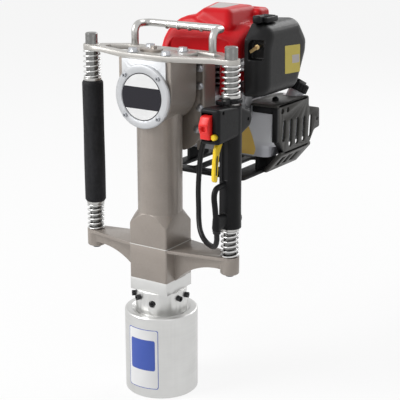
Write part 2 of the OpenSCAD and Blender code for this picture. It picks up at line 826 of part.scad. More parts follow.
module cable_sleeve() {
    sleeve_r = cable_d / 2 + 1.8;
    z_exit = cable_route[0][2];
    color(black_plastic) translate([cable_x, cable_y, 0]) {
        translate([0, 0, z_exit]) bar(sleeve_r, z_shell_low + 17 - z_exit, 1, 0);
        translate([0, 0, z_exit + 4]) bar(sleeve_r + 0.8, 2, 0.4, 0.4);
    }
}

module throttle_cable() {
    path = smooth(cable_route, 3);
    color([0.09, 0.09, 0.1])
        swept_tube(path, cable_d / 2, 10, [for (p = path) [1, -1, 0.2]]);
}

// ---------- Clutch housing ----------

// Outline of the clutch housing: the pad on top, the gear and the clutch bell below.
module housing_outline(grow) {
    bell_r = 57 + grow;
    half_top = 54 + grow;
    translate([-half_top, z_shaft]) square([2 * half_top, z_plate - z_shaft + min(grow, 0)]);
    intersection() {
        translate([0, z_shaft]) circle(bell_r);
        translate([-bell_r, z_shaft - 54 - grow]) square([2 * bell_r, 120]);
    }
}

module clutch_housing() {
    flange_t = 8;
    color([0.6, 0.55, 0.51]) difference() {
        union() {
            slab_y(wall_back, wall_back + flange_t) housing_outline(0);
            slab_y(wall_back + flange_t, housing_back) housing_outline(-4);
            for (x = [-42, 0, 42]) slab_x(x - 3, x + 3)
                polygon([[wall_back + flange_t - 1, z_shaft - 52], [housing_back, z_shaft - 40],
                    [housing_back, z_shaft], [wall_back, z_shaft]]);
        }
        bar_y(40, gear_y - 1, gear_y + gear_t + 2, 0, z_crank);
        bar_y(45, gear_y + gear_t + 1, housing_back + 1, 0, z_shaft);
        bar_y(13, gear_y - 2, gear_y + gear_t + 2, 0, z_shaft);
        bar_y(8.5 + run_fit, wall_back - 1, gear_y + gear_t + 4, 0, z_crank);
        for (p = housing_bolt_places)
            translate([p[0], wall_back - 1, z_crank + p[1]]) rotate([-90, 0, 0]) cylinder(r = 3 + run_fit, h = 8);
    }
}

housing_bolt_places = [[49, 36], [49, -27], [-49, 36], [-49, -27], [44, -62], [-44, -62], [49, 8], [-49, 8]];

module housing_bolts() {
    color([0.75, 0.76, 0.78]) for (p = housing_bolt_places)
        translate([p[0], wall_back, z_crank + p[1]]) rotate([90, 0, 0]) hex_bolt(9, 4, 3, 6.5);
}

// Drum of the centrifugal clutch, with the pinion on its shaft.
module clutch_drum() {
    drum_r = 41;
    y0 = gear_y + gear_t + 3;
    color([0.5, 0.5, 0.52]) {
        difference() {
            bar_y(drum_r, y0, housing_back - 2, 0, z_shaft);
            bar_y(drum_r - 3, y0 + 3, housing_back, 0, z_shaft);
        }
        slab_y(gear_y, y0 + 1) translate([0, z_shaft])
            polygon(gear_points(pinion_teeth, gear_module, 180 / pinion_teeth));
    }
}

// ---------- Engine ----------

shaft_r = 10;

// Shaft with the flywheel at the back, carrying the clutch shoes at the front.
module engine_shaft() {
    shoe_y = gear_y + gear_t + 8;
    color(steel) {
        bar_y(shaft_r, shoe_y, engine_back + 20, 0, z_shaft);
        difference() {
            bar_y(flywheel_r, engine_back + 2, engine_back + 14, 0, z_shaft);
            for (a = [0:30:330])
                translate([36 * cos(a), engine_back + 8, z_shaft + 36 * sin(a)]) rotate([0, -a, 0])
                    cube([12, 4, 3], center = true);
        }
    }
}

module clutch_shoes() {
    shoe_y = gear_y + gear_t + 8;
    color("dimgray") difference() {
        bar_y(35, shoe_y, housing_back - 3, 0, z_shaft);
        bar_y(shaft_r + run_fit, shoe_y - 1, housing_back, 0, z_shaft);
        for (a = [0, 90]) translate([0, shoe_y + 10, z_shaft]) rotate([0, a, 0])
            translate([15, 0, 0]) cube([45, 30, 3], center = true);
    }
}

module engine_block() {
    bore_r = shaft_r + run_fit;
    color([0.42, 0.42, 0.43]) difference() {
        union() {
            bar_y(48, engine_y, engine_y + 10, 0, z_shaft);
            slab_y(engine_y + 6, engine_back) round_rect([-46, z_shaft - 36], [46, z_shaft + 40], 12);
            bar_y(recoil_r, engine_back - 6, engine_back, 0, z_shaft);
            translate([0, cylinder_y, z_shaft + 38]) cylinder(r = 30, h = z_fin_top - z_shaft - 38);
            for (k = [0:fin_n - 1]) translate([0, cylinder_y, z_fin + k * fin_step]) linear_extrude(fin_t)
                round_rect([-44, -46], [44, 46], 10);
            block([-53, cylinder_y - 20, z_shaft + 52], [-22, cylinder_y + 20, z_shaft + 82]);
            block([22, cylinder_y - 18, z_shaft + 32], [54, cylinder_y + 12, z_shaft + 46]);
        }
        bar_y(bore_r, engine_y - 1, engine_back + 1, 0, z_shaft);
        bar_y(34, engine_y - 1, engine_y + 3, 0, z_shaft);
    }
}

// Moulded hood over the cylinder, open below, with a raised dome on its right.
module hood_form(inset) {
    r = 12 - inset;
    x0 = -70 + inset;
    x1 = 88 - inset;
    y0 = engine_y + 12 + inset;
    y1 = engine_back + 10 - inset;
    hull() {
        for (x = [x0 + r, x1 - r], y = [y0 + r, y1 - r]) {
            translate([x, y, z_hood + 62]) cylinder(r = r, h = 20, $fn = 24);
            translate([x * 0.94, y, z_hood_top - r - inset]) sphere(r, $fn = 24);
        }
    }
    hull() {
        for (x = [-8 + inset, x1 - 13], y = [y0 + 34, y1 - 16])
            translate([x, y, z_dome - 12 - inset]) sphere(12 - inset, $fn = 24);
        for (x = [-38 + inset, x1 - 12], y = [y0 + 12, y1 - 12])
            translate([x, y, z_hood_top - 20]) cylinder(r = 10 - inset, h = 6, $fn = 24);
    }
    hull() {
        for (x = [58, x1 - r], y = [y0 + r, engine_back - 2 - cover_wall - r])
            translate([x, y, z_hood]) cylinder(r = r, h = 78, $fn = 24);
    }
}

module engine_cover() {
    color([0.8, 0.1, 0.12]) difference() {
        hood_form(0);
        difference() {
            hood_form(cover_wall);
            for (x = [-30, 30]) translate([x, cylinder_y, z_fin_top]) cylinder(r = 5, h = 100);
        }
        block([45, engine_y + 26, z_hood - 1], [76, engine_back - 18, z_hood + 60]);
        block([80, engine_y + 40, z_hood - 1], [90, engine_y + 74, z_hood + 20]);
        translate([0, engine_y + 11, 0]) slab_y(0, 2.5)
            polygon([[-52, z_hood + 66], [66, z_hood + 66], [58, z_hood + 88], [-46, z_hood + 86]]);
    }
}

module muffler() {
    x0 = -engine_left;
    y0 = engine_y + 30;
    y1 = engine_y + 112;
    z0 = z_shaft + 4;
    z1 = z_shaft + 86;
    color([0.55, 0.54, 0.52]) difference() {
        union() {
            difference() {
                translate([0, 0, z0]) linear_extrude(z1 - z0) round_rect([x0, y0], [-53, y1], 8);
                translate([0, 0, z0 + 3]) linear_extrude(z1 - z0 - 6) round_rect([x0 + 3, y0 + 3], [-58, y1 - 3], 6);
            }
            block([x0 + 3, y0 + 20, z0 + 10], [x0 + 5, y1 - 3, z1 - 10]);
        }
        for (k = [0:5]) translate([x0 - 1, y0 + 12 + k * 11, z0 + 14]) cube([3.5, 5, z1 - z0 - 28]);
    }
}

// Carburettor with the bracket that holds the throttle cable.
module carburettor() {
    p = cable_end;
    color([0.62, 0.63, 0.64]) {
        block([54, cylinder_y - 18, z_shaft + 32], [92, cylinder_y - 4, z_shaft + 46]);
        bar_x(11, 54, 84, cylinder_y - 22, z_shaft + 20);
        block([60, engine_y + 30, z_shaft - 10], [82, engine_y + 58, z_shaft + 33]);
        bar_x(7, 81, 87, engine_y + 44, z_shaft);
        translate([p[0], p[1], p[2]]) rotate([-90, 0, 0]) cylinder(r = cable_d / 2 + 2, h = 14, $fn = 6);
        block([p[0] - 8, p[1] + 13, p[2] - 9], [p[0] + 6, p[1] + 16, p[2] + 9]);
        block([p[0] - 8, p[1] + 13, p[2] + 2], [p[0] + 6, engine_y + 31, p[2] + 9]);
    }
}

cleaner_y0 = engine_y + 16;
cleaner_y1 = engine_y + 154;

module cleaner_form(inset) {
    r = 14 - inset;
    x1 = engine_right - inset;
    hull() {
        for (p = [[cleaner_y0, 31], [cleaner_y1 - 18, 31], [cleaner_y1 - 3, 62], [cleaner_y1, 104],
            [cleaner_y1 - 22, 148], [cleaner_y0 + 8, 150]])
            translate([x1 - r, clamp_in(p[0], cleaner_y0 + 14, cleaner_y1 - 14), z_shaft + clamp_in(p[1], 45, 137)])
                sphere(r, $fn = 20);
        for (p = [[cleaner_y0 + 4, 34], [cleaner_y1 - 26, 34], [cleaner_y1 - 8, 104], [cleaner_y1 - 28, 146],
            [cleaner_y0 + 6, 148]])
            translate([92 + inset, p[0], z_shaft + p[1]]) rotate([0, 90, 0])
                cylinder(r = 4 - inset, h = 2, $fn = 16);
    }
}

function clamp_in(v, low, high) = max(low, min(high, v));

module air_cleaner_cover() {
    color(black_plastic) difference() {
        cleaner_form(0);
        difference() {
            cleaner_form(cover_wall);
            block([96, cleaner_y0 - 9, z_shaft + 85], [125, cleaner_y0 + 15, z_shaft + 123]);
        }
        block([99, cleaner_y0 - 10, z_shaft + 88], [122, cleaner_y0 + 12, z_shaft + 120]);
    }
}

module air_cleaner_latch() {
    z0 = z_shaft + 152.4;
    color([0.2, 0.2, 0.21]) {
        block([92, cleaner_y0 + 22, z0], [120, cleaner_y0 + 62, z0 + 8]);
        block([100, cleaner_y0 + 14, z0], [112, cleaner_y0 + 30, z0 + 11]);
    }
}

choke_pivot = [116, z_shaft + 112];

module choke_lever() {
    y0 = cleaner_y0 + 1;
    color([0.76, 0.62, 0.36]) {
        slab_y(y0, y0 + 2.5) translate(choke_pivot) {
            circle(4);
            rotate(-145) translate([0, -2.5]) square([15, 5]);
        }
        bar_y(2.5, y0, y0 + 10.7, choke_pivot[0], choke_pivot[1]);
    }
}

// ---------- Fuel tank, guard and pan ----------

tank_x = 124;

module tank_form(inset) {
    translate([0, 0, z_tank_low + inset]) linear_extrude(34 - 2 * inset)
        round_rect([-56 + inset, engine_y + 67 + inset], [tank_x - 14 - inset, engine_back - 8 - inset], 14 - inset);
    translate([0, 0, z_tank_step + inset]) linear_extrude(z_tank_top - z_tank_step - 2 * inset)
        round_rect([56 + inset, engine_y + 67 + inset], [tank_x - inset, engine_back + 46 - inset], 12 - inset);
}

cap_place = [104, engine_back + 34, z_tank_top + 9];
cap_tilt = [-22, 16, 0];

module fuel_tank() {
    color([0.86, 0.86, 0.84]) difference() {
        union() {
            tank_form(0);
            translate(cap_place) rotate(cap_tilt) translate([0, 0, -20]) cylinder(r = 14, h = 20);
        }
        tank_form(cover_wall);
        translate(cap_place) rotate(cap_tilt) translate([0, 0, -30]) cylinder(r = 11, h = 31);
    }
}

module fuel_cap() {
    color(black_plastic) translate(cap_place) rotate(cap_tilt) translate([0, 0, seat_gap]) difference() {
        union() {
            bar(17, 15, 1, 2);
            translate([-4, -16, 12]) cube([8, 32, 7]);
        }
        for (a = [0:20:340]) rotate([0, 0, a]) translate([18, 0, -1]) cylinder(r = 1.8, h = 13);
    }
}

guard_x = 126;
guard_t = 4;
guard_y0 = engine_y + 66;
guard_step = 23.5;

// Side outline of the guard in Y and Z, with the step behind the fuel cap.
module guard_side() {
    polygon([[guard_y0, z_shaft + 12], [guard_y0 + 104, z_shaft + 12], [guard_y0 + 106, z_shaft - 6],
        [guard_y0 + 144, z_shaft - 16], [guard_y0 + 146, z_shaft - 48], [guard_y0 + 128, z_shaft - 50],
        [guard_y0 + 112, z_shaft - 64], [guard_y0, z_shaft - 64]]);
}

module guard_slot(y, z0, z1) {
    translate([y, z0 + 4]) circle(4);
    translate([y, z1 - 4]) circle(4);
    translate([y - 4, z0 + 4]) square([8, z1 - z0 - 8]);
}

module tank_guard() {
    y1 = guard_y0 + 104;
    x1 = guard_x + guard_t;
    color([0.36, 0.36, 0.34]) {
        difference() {
            slab_x(guard_x, x1) guard_side();
            slab_x(guard_x - 1, x1 + 1) {
                for (k = [0:4]) guard_slot(guard_y0 + 22 + k * guard_step, z_shaft - 54 - 2 * k, z_shaft - 8 - 2 * k);
                translate([guard_y0 + 33, z_shaft + 2]) circle(4);
                translate([guard_y0 + 139, z_shaft - 22]) circle(2.5);
            }
        }
        difference() {
            translate([0, 0, z_shaft + 8]) linear_extrude(4)
                polygon([[58, guard_y0 - 6], [x1, guard_y0 - 6], [x1, y1], [70, y1], [58, y1 - 20]]);
            translate(cap_place) rotate(cap_tilt) cylinder(r = 19, h = 60, center = true);
        }
        slab_y(guard_y0 - 6, guard_y0 - 2)
            polygon([[x1, z_shaft + 12], [x1 - 10, z_shaft + 12], [x1 - 10, z_shaft - 58], [x1 - 32, z_pan + 14],
                [x1 - 32, z_pan], [x1 - 27, z_pan], [x1, z_shaft - 64]]);
        guard_slope();
        block([x1 - 10, guard_y0 - 6, z_shaft - 50], [x1, guard_y0 + 1, z_shaft + 12]);
    }
}

// Slanted lower panel between the side of the guard and the pan, with three slots.
module guard_slope() {
    x1 = guard_x + guard_t;
    y1 = guard_y0 + 112;
    difference() {
        slab_y(guard_y0 - 6, y1)
            polygon([[x1 - guard_t, z_shaft - 60], [x1, z_shaft - 60], [x1, z_shaft - 64], [x1 - 27, z_pan],
                [x1 - 32, z_pan], [x1 - 32, z_pan + 5]]);
        for (k = [0:2]) slab_y(guard_y0 + 30 + k * guard_step, guard_y0 + 38 + k * guard_step)
            polygon([[x1, z_shaft - 68], [x1 - 20, z_shaft - 68], [x1 - 36, z_pan + 14], [x1 - 6, z_pan + 14]]);
    }
}

module engine_pan() {
    y0 = engine_y + 8;
    y1 = engine_back + 34;
    color(black_plastic) difference() {
        union() {
            translate([0, 0, z_pan]) linear_extrude(5) round_rect([-60, y0], [guard_x + guard_t - 32, y1], 10);
            for (x = [-58, 54]) translate([x, 0, 0])
                block([0, y0 + 8, z_pan + 4], [4, y0 + 40, z_shaft - 36]);
            block([-58, y0 + 20, z_shaft - 44], [58, y0 + 40, z_shaft - 36]);
            for (x = [-50, 86]) block([x, y0 + 60, z_pan + 4], [x + 5, engine_back - 10, z_tank_low]);
        }
        for (x = [-38, 0, 38]) translate([0, 0, z_pan - 1]) linear_extrude(8)
            round_rect([x, y0 + 24], [x + 26, y1 - 34], 6);
    }
}

// ---------- Recoil starter ----------

rope_x = -pulley_r;
rope_y = engine_back + 30;
z_eyelet = z_shaft + 62;
recoil_back = engine_back + 50;

module recoil_housing() {
    r = recoil_r;
    color([0.16, 0.16, 0.17]) difference() {
        union() {
            translate([0, recoil_back, z_shaft]) rotate([90, 0, 0]) bar(r, recoil_back - engine_back, 6, 0);
            translate([rope_x, rope_y, z_shaft + 36]) cylinder(r = 11, h = 26);
        }
        bar_y(r - 4, engine_back - 1, recoil_back - 4, 0, z_shaft);
        for (a = [0:24:336]) translate([0, recoil_back - 8, z_shaft]) rotate([0, a, 0])
            translate([26, 0, -3]) cube([18, 12, 6]);
        translate([rope_x, rope_y, z_shaft + 30]) cylinder(r = rope_d / 2 + 0.6, h = 40);
    }
    color([0.16, 0.16, 0.17]) bar_y(6, engine_back + 24, recoil_back - 3, 0, z_shaft);
}

module starter_pulley() {
    y0 = rope_y - 5;
    color([0.85, 0.85, 0.82]) difference() {
        union() {
            bar_y(pulley_r + 4, y0, y0 + 2, 0, z_shaft);
            bar_y(pulley_r - rope_d / 2 - 0.4, y0, y0 + 10, 0, z_shaft);
            bar_y(pulley_r + 4, y0 + 8, y0 + 10, 0, z_shaft);
        }
        bar_y(6 + run_fit, y0 - 1, y0 + 11, 0, z_shaft);
    }
}

module starter_grip() {
    z0 = z_eyelet + seat_gap;
    color(black_plastic) translate([rope_x, rope_y, z0]) {
        bar(7, 14, 1, 1);
        translate([0, 0, 17]) rotate([0, 90, 0]) hull() {
            for (z = [-20, 20]) translate([0, 0, z]) sphere(6.5, $fn = 20);
            for (y = [-3, 3]) translate([-1, y, 0]) sphere(7, $fn = 20);
        }
    }
}

// Rope from the pulley's rim to the grip.
module starter_rope() {
    color("whitesmoke") translate([rope_x, rope_y, z_shaft])
        cylinder(r = rope_d / 2, h = z_eyelet + seat_gap - z_shaft);
}

driving_cup();
neck_collar();
neck_screws();
anvil();
lower_casting();
casting_gasket();
upper_casting();
cylinder_liner();
ram();
ram_buffer();
drive_piston();
wrist_pin();
connecting_rod();
crankshaft();
crank_bearing();
reduction_gear();
front_cover();
front_cover_screws();
top_plate();
plate_bolts();
grease_cover();
carry_handle();
left_guide_rod();
right_guide_rod();
rod_screws();
left_lower_spring();
left_upper_spring();
right_lower_spring();
right_upper_spring();
left_grip_tube();
left_grip_rubber();
right_grip_tube();
inner_grip_shell();
outer_grip_shell();
grip_ring_nut();
kill_switch();
throttle_lock();
throttle_trigger();
cable_sleeve();
throttle_cable();
clutch_housing();
housing_bolts();
clutch_drum();
engine_shaft();
clutch_shoes();
engine_block();
engine_cover();
muffler();
carburettor();
air_cleaner_cover();
air_cleaner_latch();
choke_lever();
fuel_tank();
fuel_cap();
tank_guard();
engine_pan();
recoil_housing();
starter_pulley();
starter_grip();
starter_rope();
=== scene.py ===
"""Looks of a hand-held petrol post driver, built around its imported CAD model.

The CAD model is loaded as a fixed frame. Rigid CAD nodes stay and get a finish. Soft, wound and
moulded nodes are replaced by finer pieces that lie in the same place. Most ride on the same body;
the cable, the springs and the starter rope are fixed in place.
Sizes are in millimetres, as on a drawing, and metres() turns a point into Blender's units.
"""

import logging
import math
from dataclasses import dataclass
from enum import Enum
from typing import Iterable, Sequence

import bmesh
import bpy
from mathutils import Matrix, Vector


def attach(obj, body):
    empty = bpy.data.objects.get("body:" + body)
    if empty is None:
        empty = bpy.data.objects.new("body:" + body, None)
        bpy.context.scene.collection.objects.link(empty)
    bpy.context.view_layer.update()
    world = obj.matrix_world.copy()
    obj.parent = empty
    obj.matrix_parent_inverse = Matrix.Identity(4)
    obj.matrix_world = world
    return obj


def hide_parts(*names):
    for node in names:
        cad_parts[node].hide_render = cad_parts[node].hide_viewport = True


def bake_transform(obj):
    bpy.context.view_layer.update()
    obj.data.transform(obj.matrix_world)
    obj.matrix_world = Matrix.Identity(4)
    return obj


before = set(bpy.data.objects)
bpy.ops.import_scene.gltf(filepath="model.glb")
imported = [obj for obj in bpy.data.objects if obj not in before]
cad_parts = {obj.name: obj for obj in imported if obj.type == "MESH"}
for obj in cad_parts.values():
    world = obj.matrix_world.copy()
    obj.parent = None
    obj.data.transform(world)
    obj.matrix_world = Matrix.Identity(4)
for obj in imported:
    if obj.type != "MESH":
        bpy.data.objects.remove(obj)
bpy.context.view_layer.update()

log = logging.getLogger("post_driver")

Colour = tuple[float, float, float]
Point = tuple[float, float, float]
Flat = tuple[float, float]
Ball = tuple[float, float, float, float]
Piece = bpy.types.Object
Socket = bpy.types.NodeSocket

MM = 0.001
SHARP = math.radians(38)
BEVELLED = math.radians(30)
BEVELLED_NODE = math.radians(32)
WELD_GAP = 0.002
SAME_SPOT = 1e-7
BEND_SHARE = 0.48
EASE = 0.5
UP = (0, 0, 1)
WHITE = (1, 1, 1, 1)


# ---------------------------------------------------------------- meshes


def metres(point: Sequence[float]) -> Vector:
    """Turns a point or a direction given in millimetres into metres.

    Args:
        point: Three numbers in millimetres.

    Returns:
        The same point in metres.
    """
    return Vector(point) * MM


def arc(centre: Flat, radius: float, start: float, end: float, steps: int = 8) -> list[Flat]:
    """Points on an arc, both ends included.

    Args:
        centre: Centre of the arc.
        radius: Radius of the arc.
        start: Angle of the first point, in degrees.
        end: Angle of the last point, in degrees.
        steps: Number of straight steps along the arc.

    Returns:
        The points, from start to end.
    """
    turns = [math.radians(start + (end - start) * k / steps) for k in range(steps + 1)]
    return [(centre[0] + radius * math.cos(a), centre[1] + radius * math.sin(a)) for a in turns]


def round_outline(corners: Sequence[Flat], radius: float, steps: int = 6) -> list[Flat]:
    """Rounds the corners of a flat outline.

    Args:
        corners: Corner points in order.
        radius: Largest radius; a short side gets less.
        steps: Straight steps in each rounded corner.

    Returns:
        The points of the rounded outline.
    """
    points = []
    count = len(corners)
    for k in range(count):
        before, here, after = (Vector(corners[(k + j) % count]) for j in (-1, 0, 1))
        sides = ((before - here).length, (after - here).length)
        reach = min(radius, BEND_SHARE * min(sides))
        first = here + (before - here).normalized() * reach
        last = here + (after - here).normalized() * reach
        for j in range(steps + 1):
            t = j / steps
            points.append(tuple((1 - t) ** 2 * first + 2 * t * (1 - t) * here + t * t * last))
    return points


def smooth_route(route: Sequence[Point], steps: int) -> list[Vector]:
    """Puts more points between a route's own, on a smooth curve through them.

    Args:
        route: The route's points.
        steps: Number of steps between two points.

    Returns:
        The points of the smooth curve, the route's own included.
    """
    points = [Vector(p) for p in route]
    made = []
    for k in range(len(points) - 1):
        a, b = points[max(k - 1, 0)], points[k]
        c, d = points[k + 1], points[min(k + 2, len(points) - 1)]
        for step in range(steps):
            t = step / steps
            square = (2 * a - 5 * b + 4 * c - d) * t * t
            cube = (3 * b - a - 3 * c + d) * t**3
            made.append(0.5 * (2 * b + (c - a) * t + square + cube))
    made.append(points[-1])
    return made


def path_length(path: Sequence[Vector]) -> float:
    """Length of a line through points."""
    return sum((b - a).length for a, b in zip(path, path[1:]))


def circle(steps: int) -> list[float]:
    """Angles of evenly spaced points round a circle, in radians."""
    return [math.tau * k / steps for k in range(steps)]


def shade_soft(mesh: bpy.types.Mesh) -> None:
    """Shades a mesh smooth, with its sharp edges kept sharp."""
    mesh.shade_smooth()
    mesh.set_sharp_from_angle(angle=SHARP)


def link(name: str, mesh: bpy.types.Mesh, smooth: bool = True) -> Piece:
    """Makes an object from a mesh and puts it in the scene.

    Args:
        name: Name of the piece.
        mesh: Its mesh, in metres.
        smooth: Whether its faces are shaded smooth, with sharp edges kept sharp.

    Returns:
        The new object.
    """
    mesh.name = name
    made = bpy.data.objects.new(name, mesh)
    bpy.context.scene.collection.objects.link(made)
    if smooth:
        shade_soft(mesh)
    return made


def from_points(
    name: str,
    points: Iterable[Sequence[float]],
    faces: Iterable[Sequence[int]],
    smooth: bool = True,
) -> Piece:
    """Makes a piece from points in millimetres.

    Args:
        name: Name of the piece.
        points: Its points, in millimetres.
        faces: Point numbers of each face.
        smooth: Whether its faces are shaded smooth.

    Returns:
        The new object, with its faces turned outwards.
    """
    mesh = bpy.data.meshes.new(name)
    mesh.from_pydata([tuple(metres(p)) for p in points], [], [tuple(f) for f in faces])
    shape = bmesh.new()
    shape.from_mesh(mesh)
    bmesh.ops.remove_doubles(shape, verts=shape.verts, dist=SAME_SPOT)
    bmesh.ops.recalc_face_normals(shape, faces=shape.faces)
    shape.to_mesh(mesh)
    shape.free()
    return link(name, mesh, smooth)


def skin(name: str, rings: Sequence[Sequence[Sequence[float]]], closed: bool = False) -> Piece:
    """Covers a row of rings that have the same number of points.

    Args:
        name: Name of the piece.
        rings: The rings, each a closed row of points in millimetres.
        closed: Whether the last ring joins the first; otherwise both ends are capped.

    Returns:
        The new object.
    """
    sides, count = len(rings[0]), len(rings)
    points = [p for ring in rings for p in ring]
    faces = []
    for k in range(count if closed else count - 1):
        a, b = k * sides, (k + 1) % count * sides
        faces += [(a + j, a + (j + 1) % sides, b + (j + 1) % sides, b + j) for j in range(sides)]
    if not closed:
        faces += [tuple(range(sides)), tuple(range((count - 1) * sides, count * sides))]
    return from_points(name, points, faces)


def sweep(name: str, path: Sequence[Vector], radius: float, sides: int = 16) -> Piece:
    """Sweeps a round tube along a path, without twist.

    Args:
        name: Name of the piece.
        path: Points of its centre line, in millimetres.
        radius: Radius of the tube.
        sides: Sides of the tube.

    Returns:
        The new tube, closed at both ends.
    """
    across = (path[1] - path[0]).normalized().orthogonal().normalized()
    rings = []
    for k, centre in enumerate(path):
        ahead = (path[min(k + 1, len(path) - 1)] - path[max(k - 1, 0)]).normalized()
        across = (across - across.dot(ahead) * ahead).normalized()
        other = ahead.cross(across)
        rings.append(
            [centre + radius * (math.cos(a) * across + math.sin(a) * other) for a in circle(sides)]
        )
    return skin(name, rings)


def place(origin: Sequence[float], axis: Sequence[float] = UP) -> Matrix:
    """Placement that turns +Z to an axis and moves the origin.

    Args:
        origin: New origin, in millimetres.
        axis: Direction that +Z turns to.

    Returns:
        The placement, for points in millimetres.
    """
    turn = Vector(axis).to_track_quat("Z", "Y").to_matrix().to_4x4()
    return Matrix.Translation(Vector(origin)) @ turn


def lathe(name: str, profile: Sequence[Flat], where: Matrix, steps: int = 48) -> Piece:
    """Turns a profile about the +Z axis of a placement.

    Args:
        name: Name of the piece.
        profile: Pairs of radius and height, in millimetres, from one end to the other.
        where: Placement of the axis.
        steps: Steps round the axis.

    Returns:
        The turned piece.
    """
    rings = [
        [where @ Vector((r * math.cos(a), r * math.sin(a), h)) for a in circle(steps)]
        for r, h in profile
    ]
    return skin(name, rings)


def rod(
    name: str, spot: Point, axis: Point, radius: float, length: float, steps: int = 48
) -> Piece:
    """Makes a straight round bar, as a tool for a hole.

    Args:
        name: Name of the bar.
        spot: Centre of its first end, in millimetres.
        axis: Direction that it runs in.
        radius: Its radius.
        length: Its length.
        steps: Steps round it.

    Returns:
        The bar.
    """
    return lathe(name, [(radius, 0), (radius, length)], place(spot, axis), steps)


class Plane(Enum):
    """The plane that a flat outline is drawn in, with the axis that it is thickened along."""

    XY = "z"
    XZ = "y"
    YZ = "x"


def slab(
    name: str, outline: Sequence[Flat], plane: Plane, low: float, high: float, edge: float = 0.0
) -> Piece:
    """Thickens a flat outline.

    Args:
        name: Name of the piece.
        outline: Points of the outline, in millimetres.
        plane: Plane of the outline.
        low: Where it starts along the third axis.
        high: Where it ends.
        edge: Radius of its edges.

    Returns:
        The new piece.
    """
    spot = {
        Plane.XY: lambda p, h: (p[0], p[1], h),
        Plane.XZ: lambda p, h: (p[0], h, p[1]),
        Plane.YZ: lambda p, h: (h, p[0], p[1]),
    }[plane]
    made = skin(name, [[spot(p, h) for p in outline] for h in (low, high)])
    return round_edges(made, edge) if edge else made


def box(name: str, low: Point, high: Point, edge: float = 0.0) -> Piece:
    """Makes a box between two corners, with rounded edges if edge isn't 0."""
    outline = [(low[0], low[1]), (high[0], low[1]), (high[0], high[1]), (low[0], high[1])]
    return slab(name, outline, Plane.XY, low[2], high[2], edge)


def apply_all(piece: Piece) -> Piece:
    """Applies every modifier of a piece and keeps its sharp edges.

    Args:
        piece: The piece whose modifiers are applied.

    Returns:
        The same piece.
    """
    bpy.context.view_layer.update()
    graph = bpy.context.evaluated_depsgraph_get()
    made = bpy.data.meshes.new_from_object(piece.evaluated_get(graph))
    piece.modifiers.clear()
    piece.data = made
    shade_soft(made)
    return piece


def round_edges(piece: Piece, width: float, segments: int = 3) -> Piece:
    """Rounds the edges of a piece.

    Args:
        piece: The piece.
        width: Width of the rounding, in millimetres.
        segments: Steps across it.

    Returns:
        The same piece.
    """
    change = piece.modifiers.new("edges", "BEVEL")
    change.width = width * MM
    change.segments = segments
    change.limit_method = "ANGLE"
    change.angle_limit = BEVELLED
    change.harden_normals = True
    return apply_all(piece)


def bubble(name: str, balls: Sequence[Ball], steps: int = 12) -> Piece:
    """Wraps a tight skin round balls, for a moulding with rounded corners.

    Args:
        name: Name of the piece.
        balls: Centre and radius of each ball, in millimetres.
        steps: Steps from one pole of a ball to the other.

    Returns:
        The wrapped piece.
    """
    shape = bmesh.new()
    for x, y, z, r in balls:
        for row in range(steps + 1):
            tilt = math.pi * row / steps
            for k in range(2 * steps if 0 < row < steps else 1):
                turn = math.pi * k / steps
                out = r * math.sin(tilt)
                spot = (x + out * math.cos(turn), y + out * math.sin(turn), z + r * math.cos(tilt))
                shape.verts.new(metres(spot))
    bmesh.ops.convex_hull(shape, input=shape.verts, use_existing_faces=False)
    loose = [v for v in shape.verts if not v.link_faces]
    bmesh.ops.delete(shape, geom=loose, context="VERTS")
    bmesh.ops.recalc_face_normals(shape, faces=shape.faces)
    mesh = bpy.data.meshes.new(name)
    shape.to_mesh(mesh)
    shape.free()
    return link(name, mesh)


class Cut(Enum):
    """How a tool changes the piece it is used on."""

    AWAY = "DIFFERENCE"
    ADD = "UNION"


def combine(piece: Piece, tool: Piece, how: Cut = Cut.AWAY) -> Piece:
    """Cuts a tool out of a piece, or adds it, and removes the tool.

    Args:
        piece: The piece that is changed.
        tool: The closed shape that it is changed with.
        how: What is done with the tool.

    Returns:
        The changed piece.
    """
    change = piece.modifiers.new("tool", "BOOLEAN")
    change.operation = how.value
    change.solver = "EXACT"
    change.object = tool
    apply_all(piece)
    bpy.data.objects.remove(tool)
    return piece


def melt(piece: Piece, voxel: float, rounds: int) -> Piece:
    """Rounds a piece all over, as a moulding is, and fillets its inner corners.

    Args:
        piece: The piece.
        voxel: Size of the steps that its surface is rebuilt in, in millimetres.
        rounds: Rounds of smoothing.

    Returns:
        The same piece.
    """
    remake = piece.modifiers.new("remake", "REMESH")
    remake.mode = "VOXEL"
    remake.voxel_size = voxel * MM
    ease = piece.modifiers.new("ease", "SMOOTH")
    ease.factor = EASE
    ease.iterations = rounds
    return apply_all(piece)


def join(name: str, pieces: Sequence[Piece]) -> Piece:
    """Joins pieces into one object.

    Args:
        name: Name of the joined piece.
        pieces: Pieces that are joined and removed.

    Returns:
        The joined piece, with the materials of all of them.
    """
    shape = bmesh.new()
    materials: list[bpy.types.Material] = []
    for piece in pieces:
        own = [s.material for s in piece.material_slots]
        materials += [m for m in own if m and m not in materials]
        before = len(shape.faces)
        shape.from_mesh(piece.data)
        shape.faces.ensure_lookup_table()
        for face in shape.faces[before:]:
            if own and own[face.material_index]:
                face.material_index = materials.index(own[face.material_index])
    mesh = bpy.data.meshes.new(name)
    shape.to_mesh(mesh)
    shape.free()
    for material in materials:
        mesh.materials.append(material)
    for piece in pieces:
        bpy.data.objects.remove(piece)
    return link(name, mesh)


# ---------------------------------------------------------------- finishes


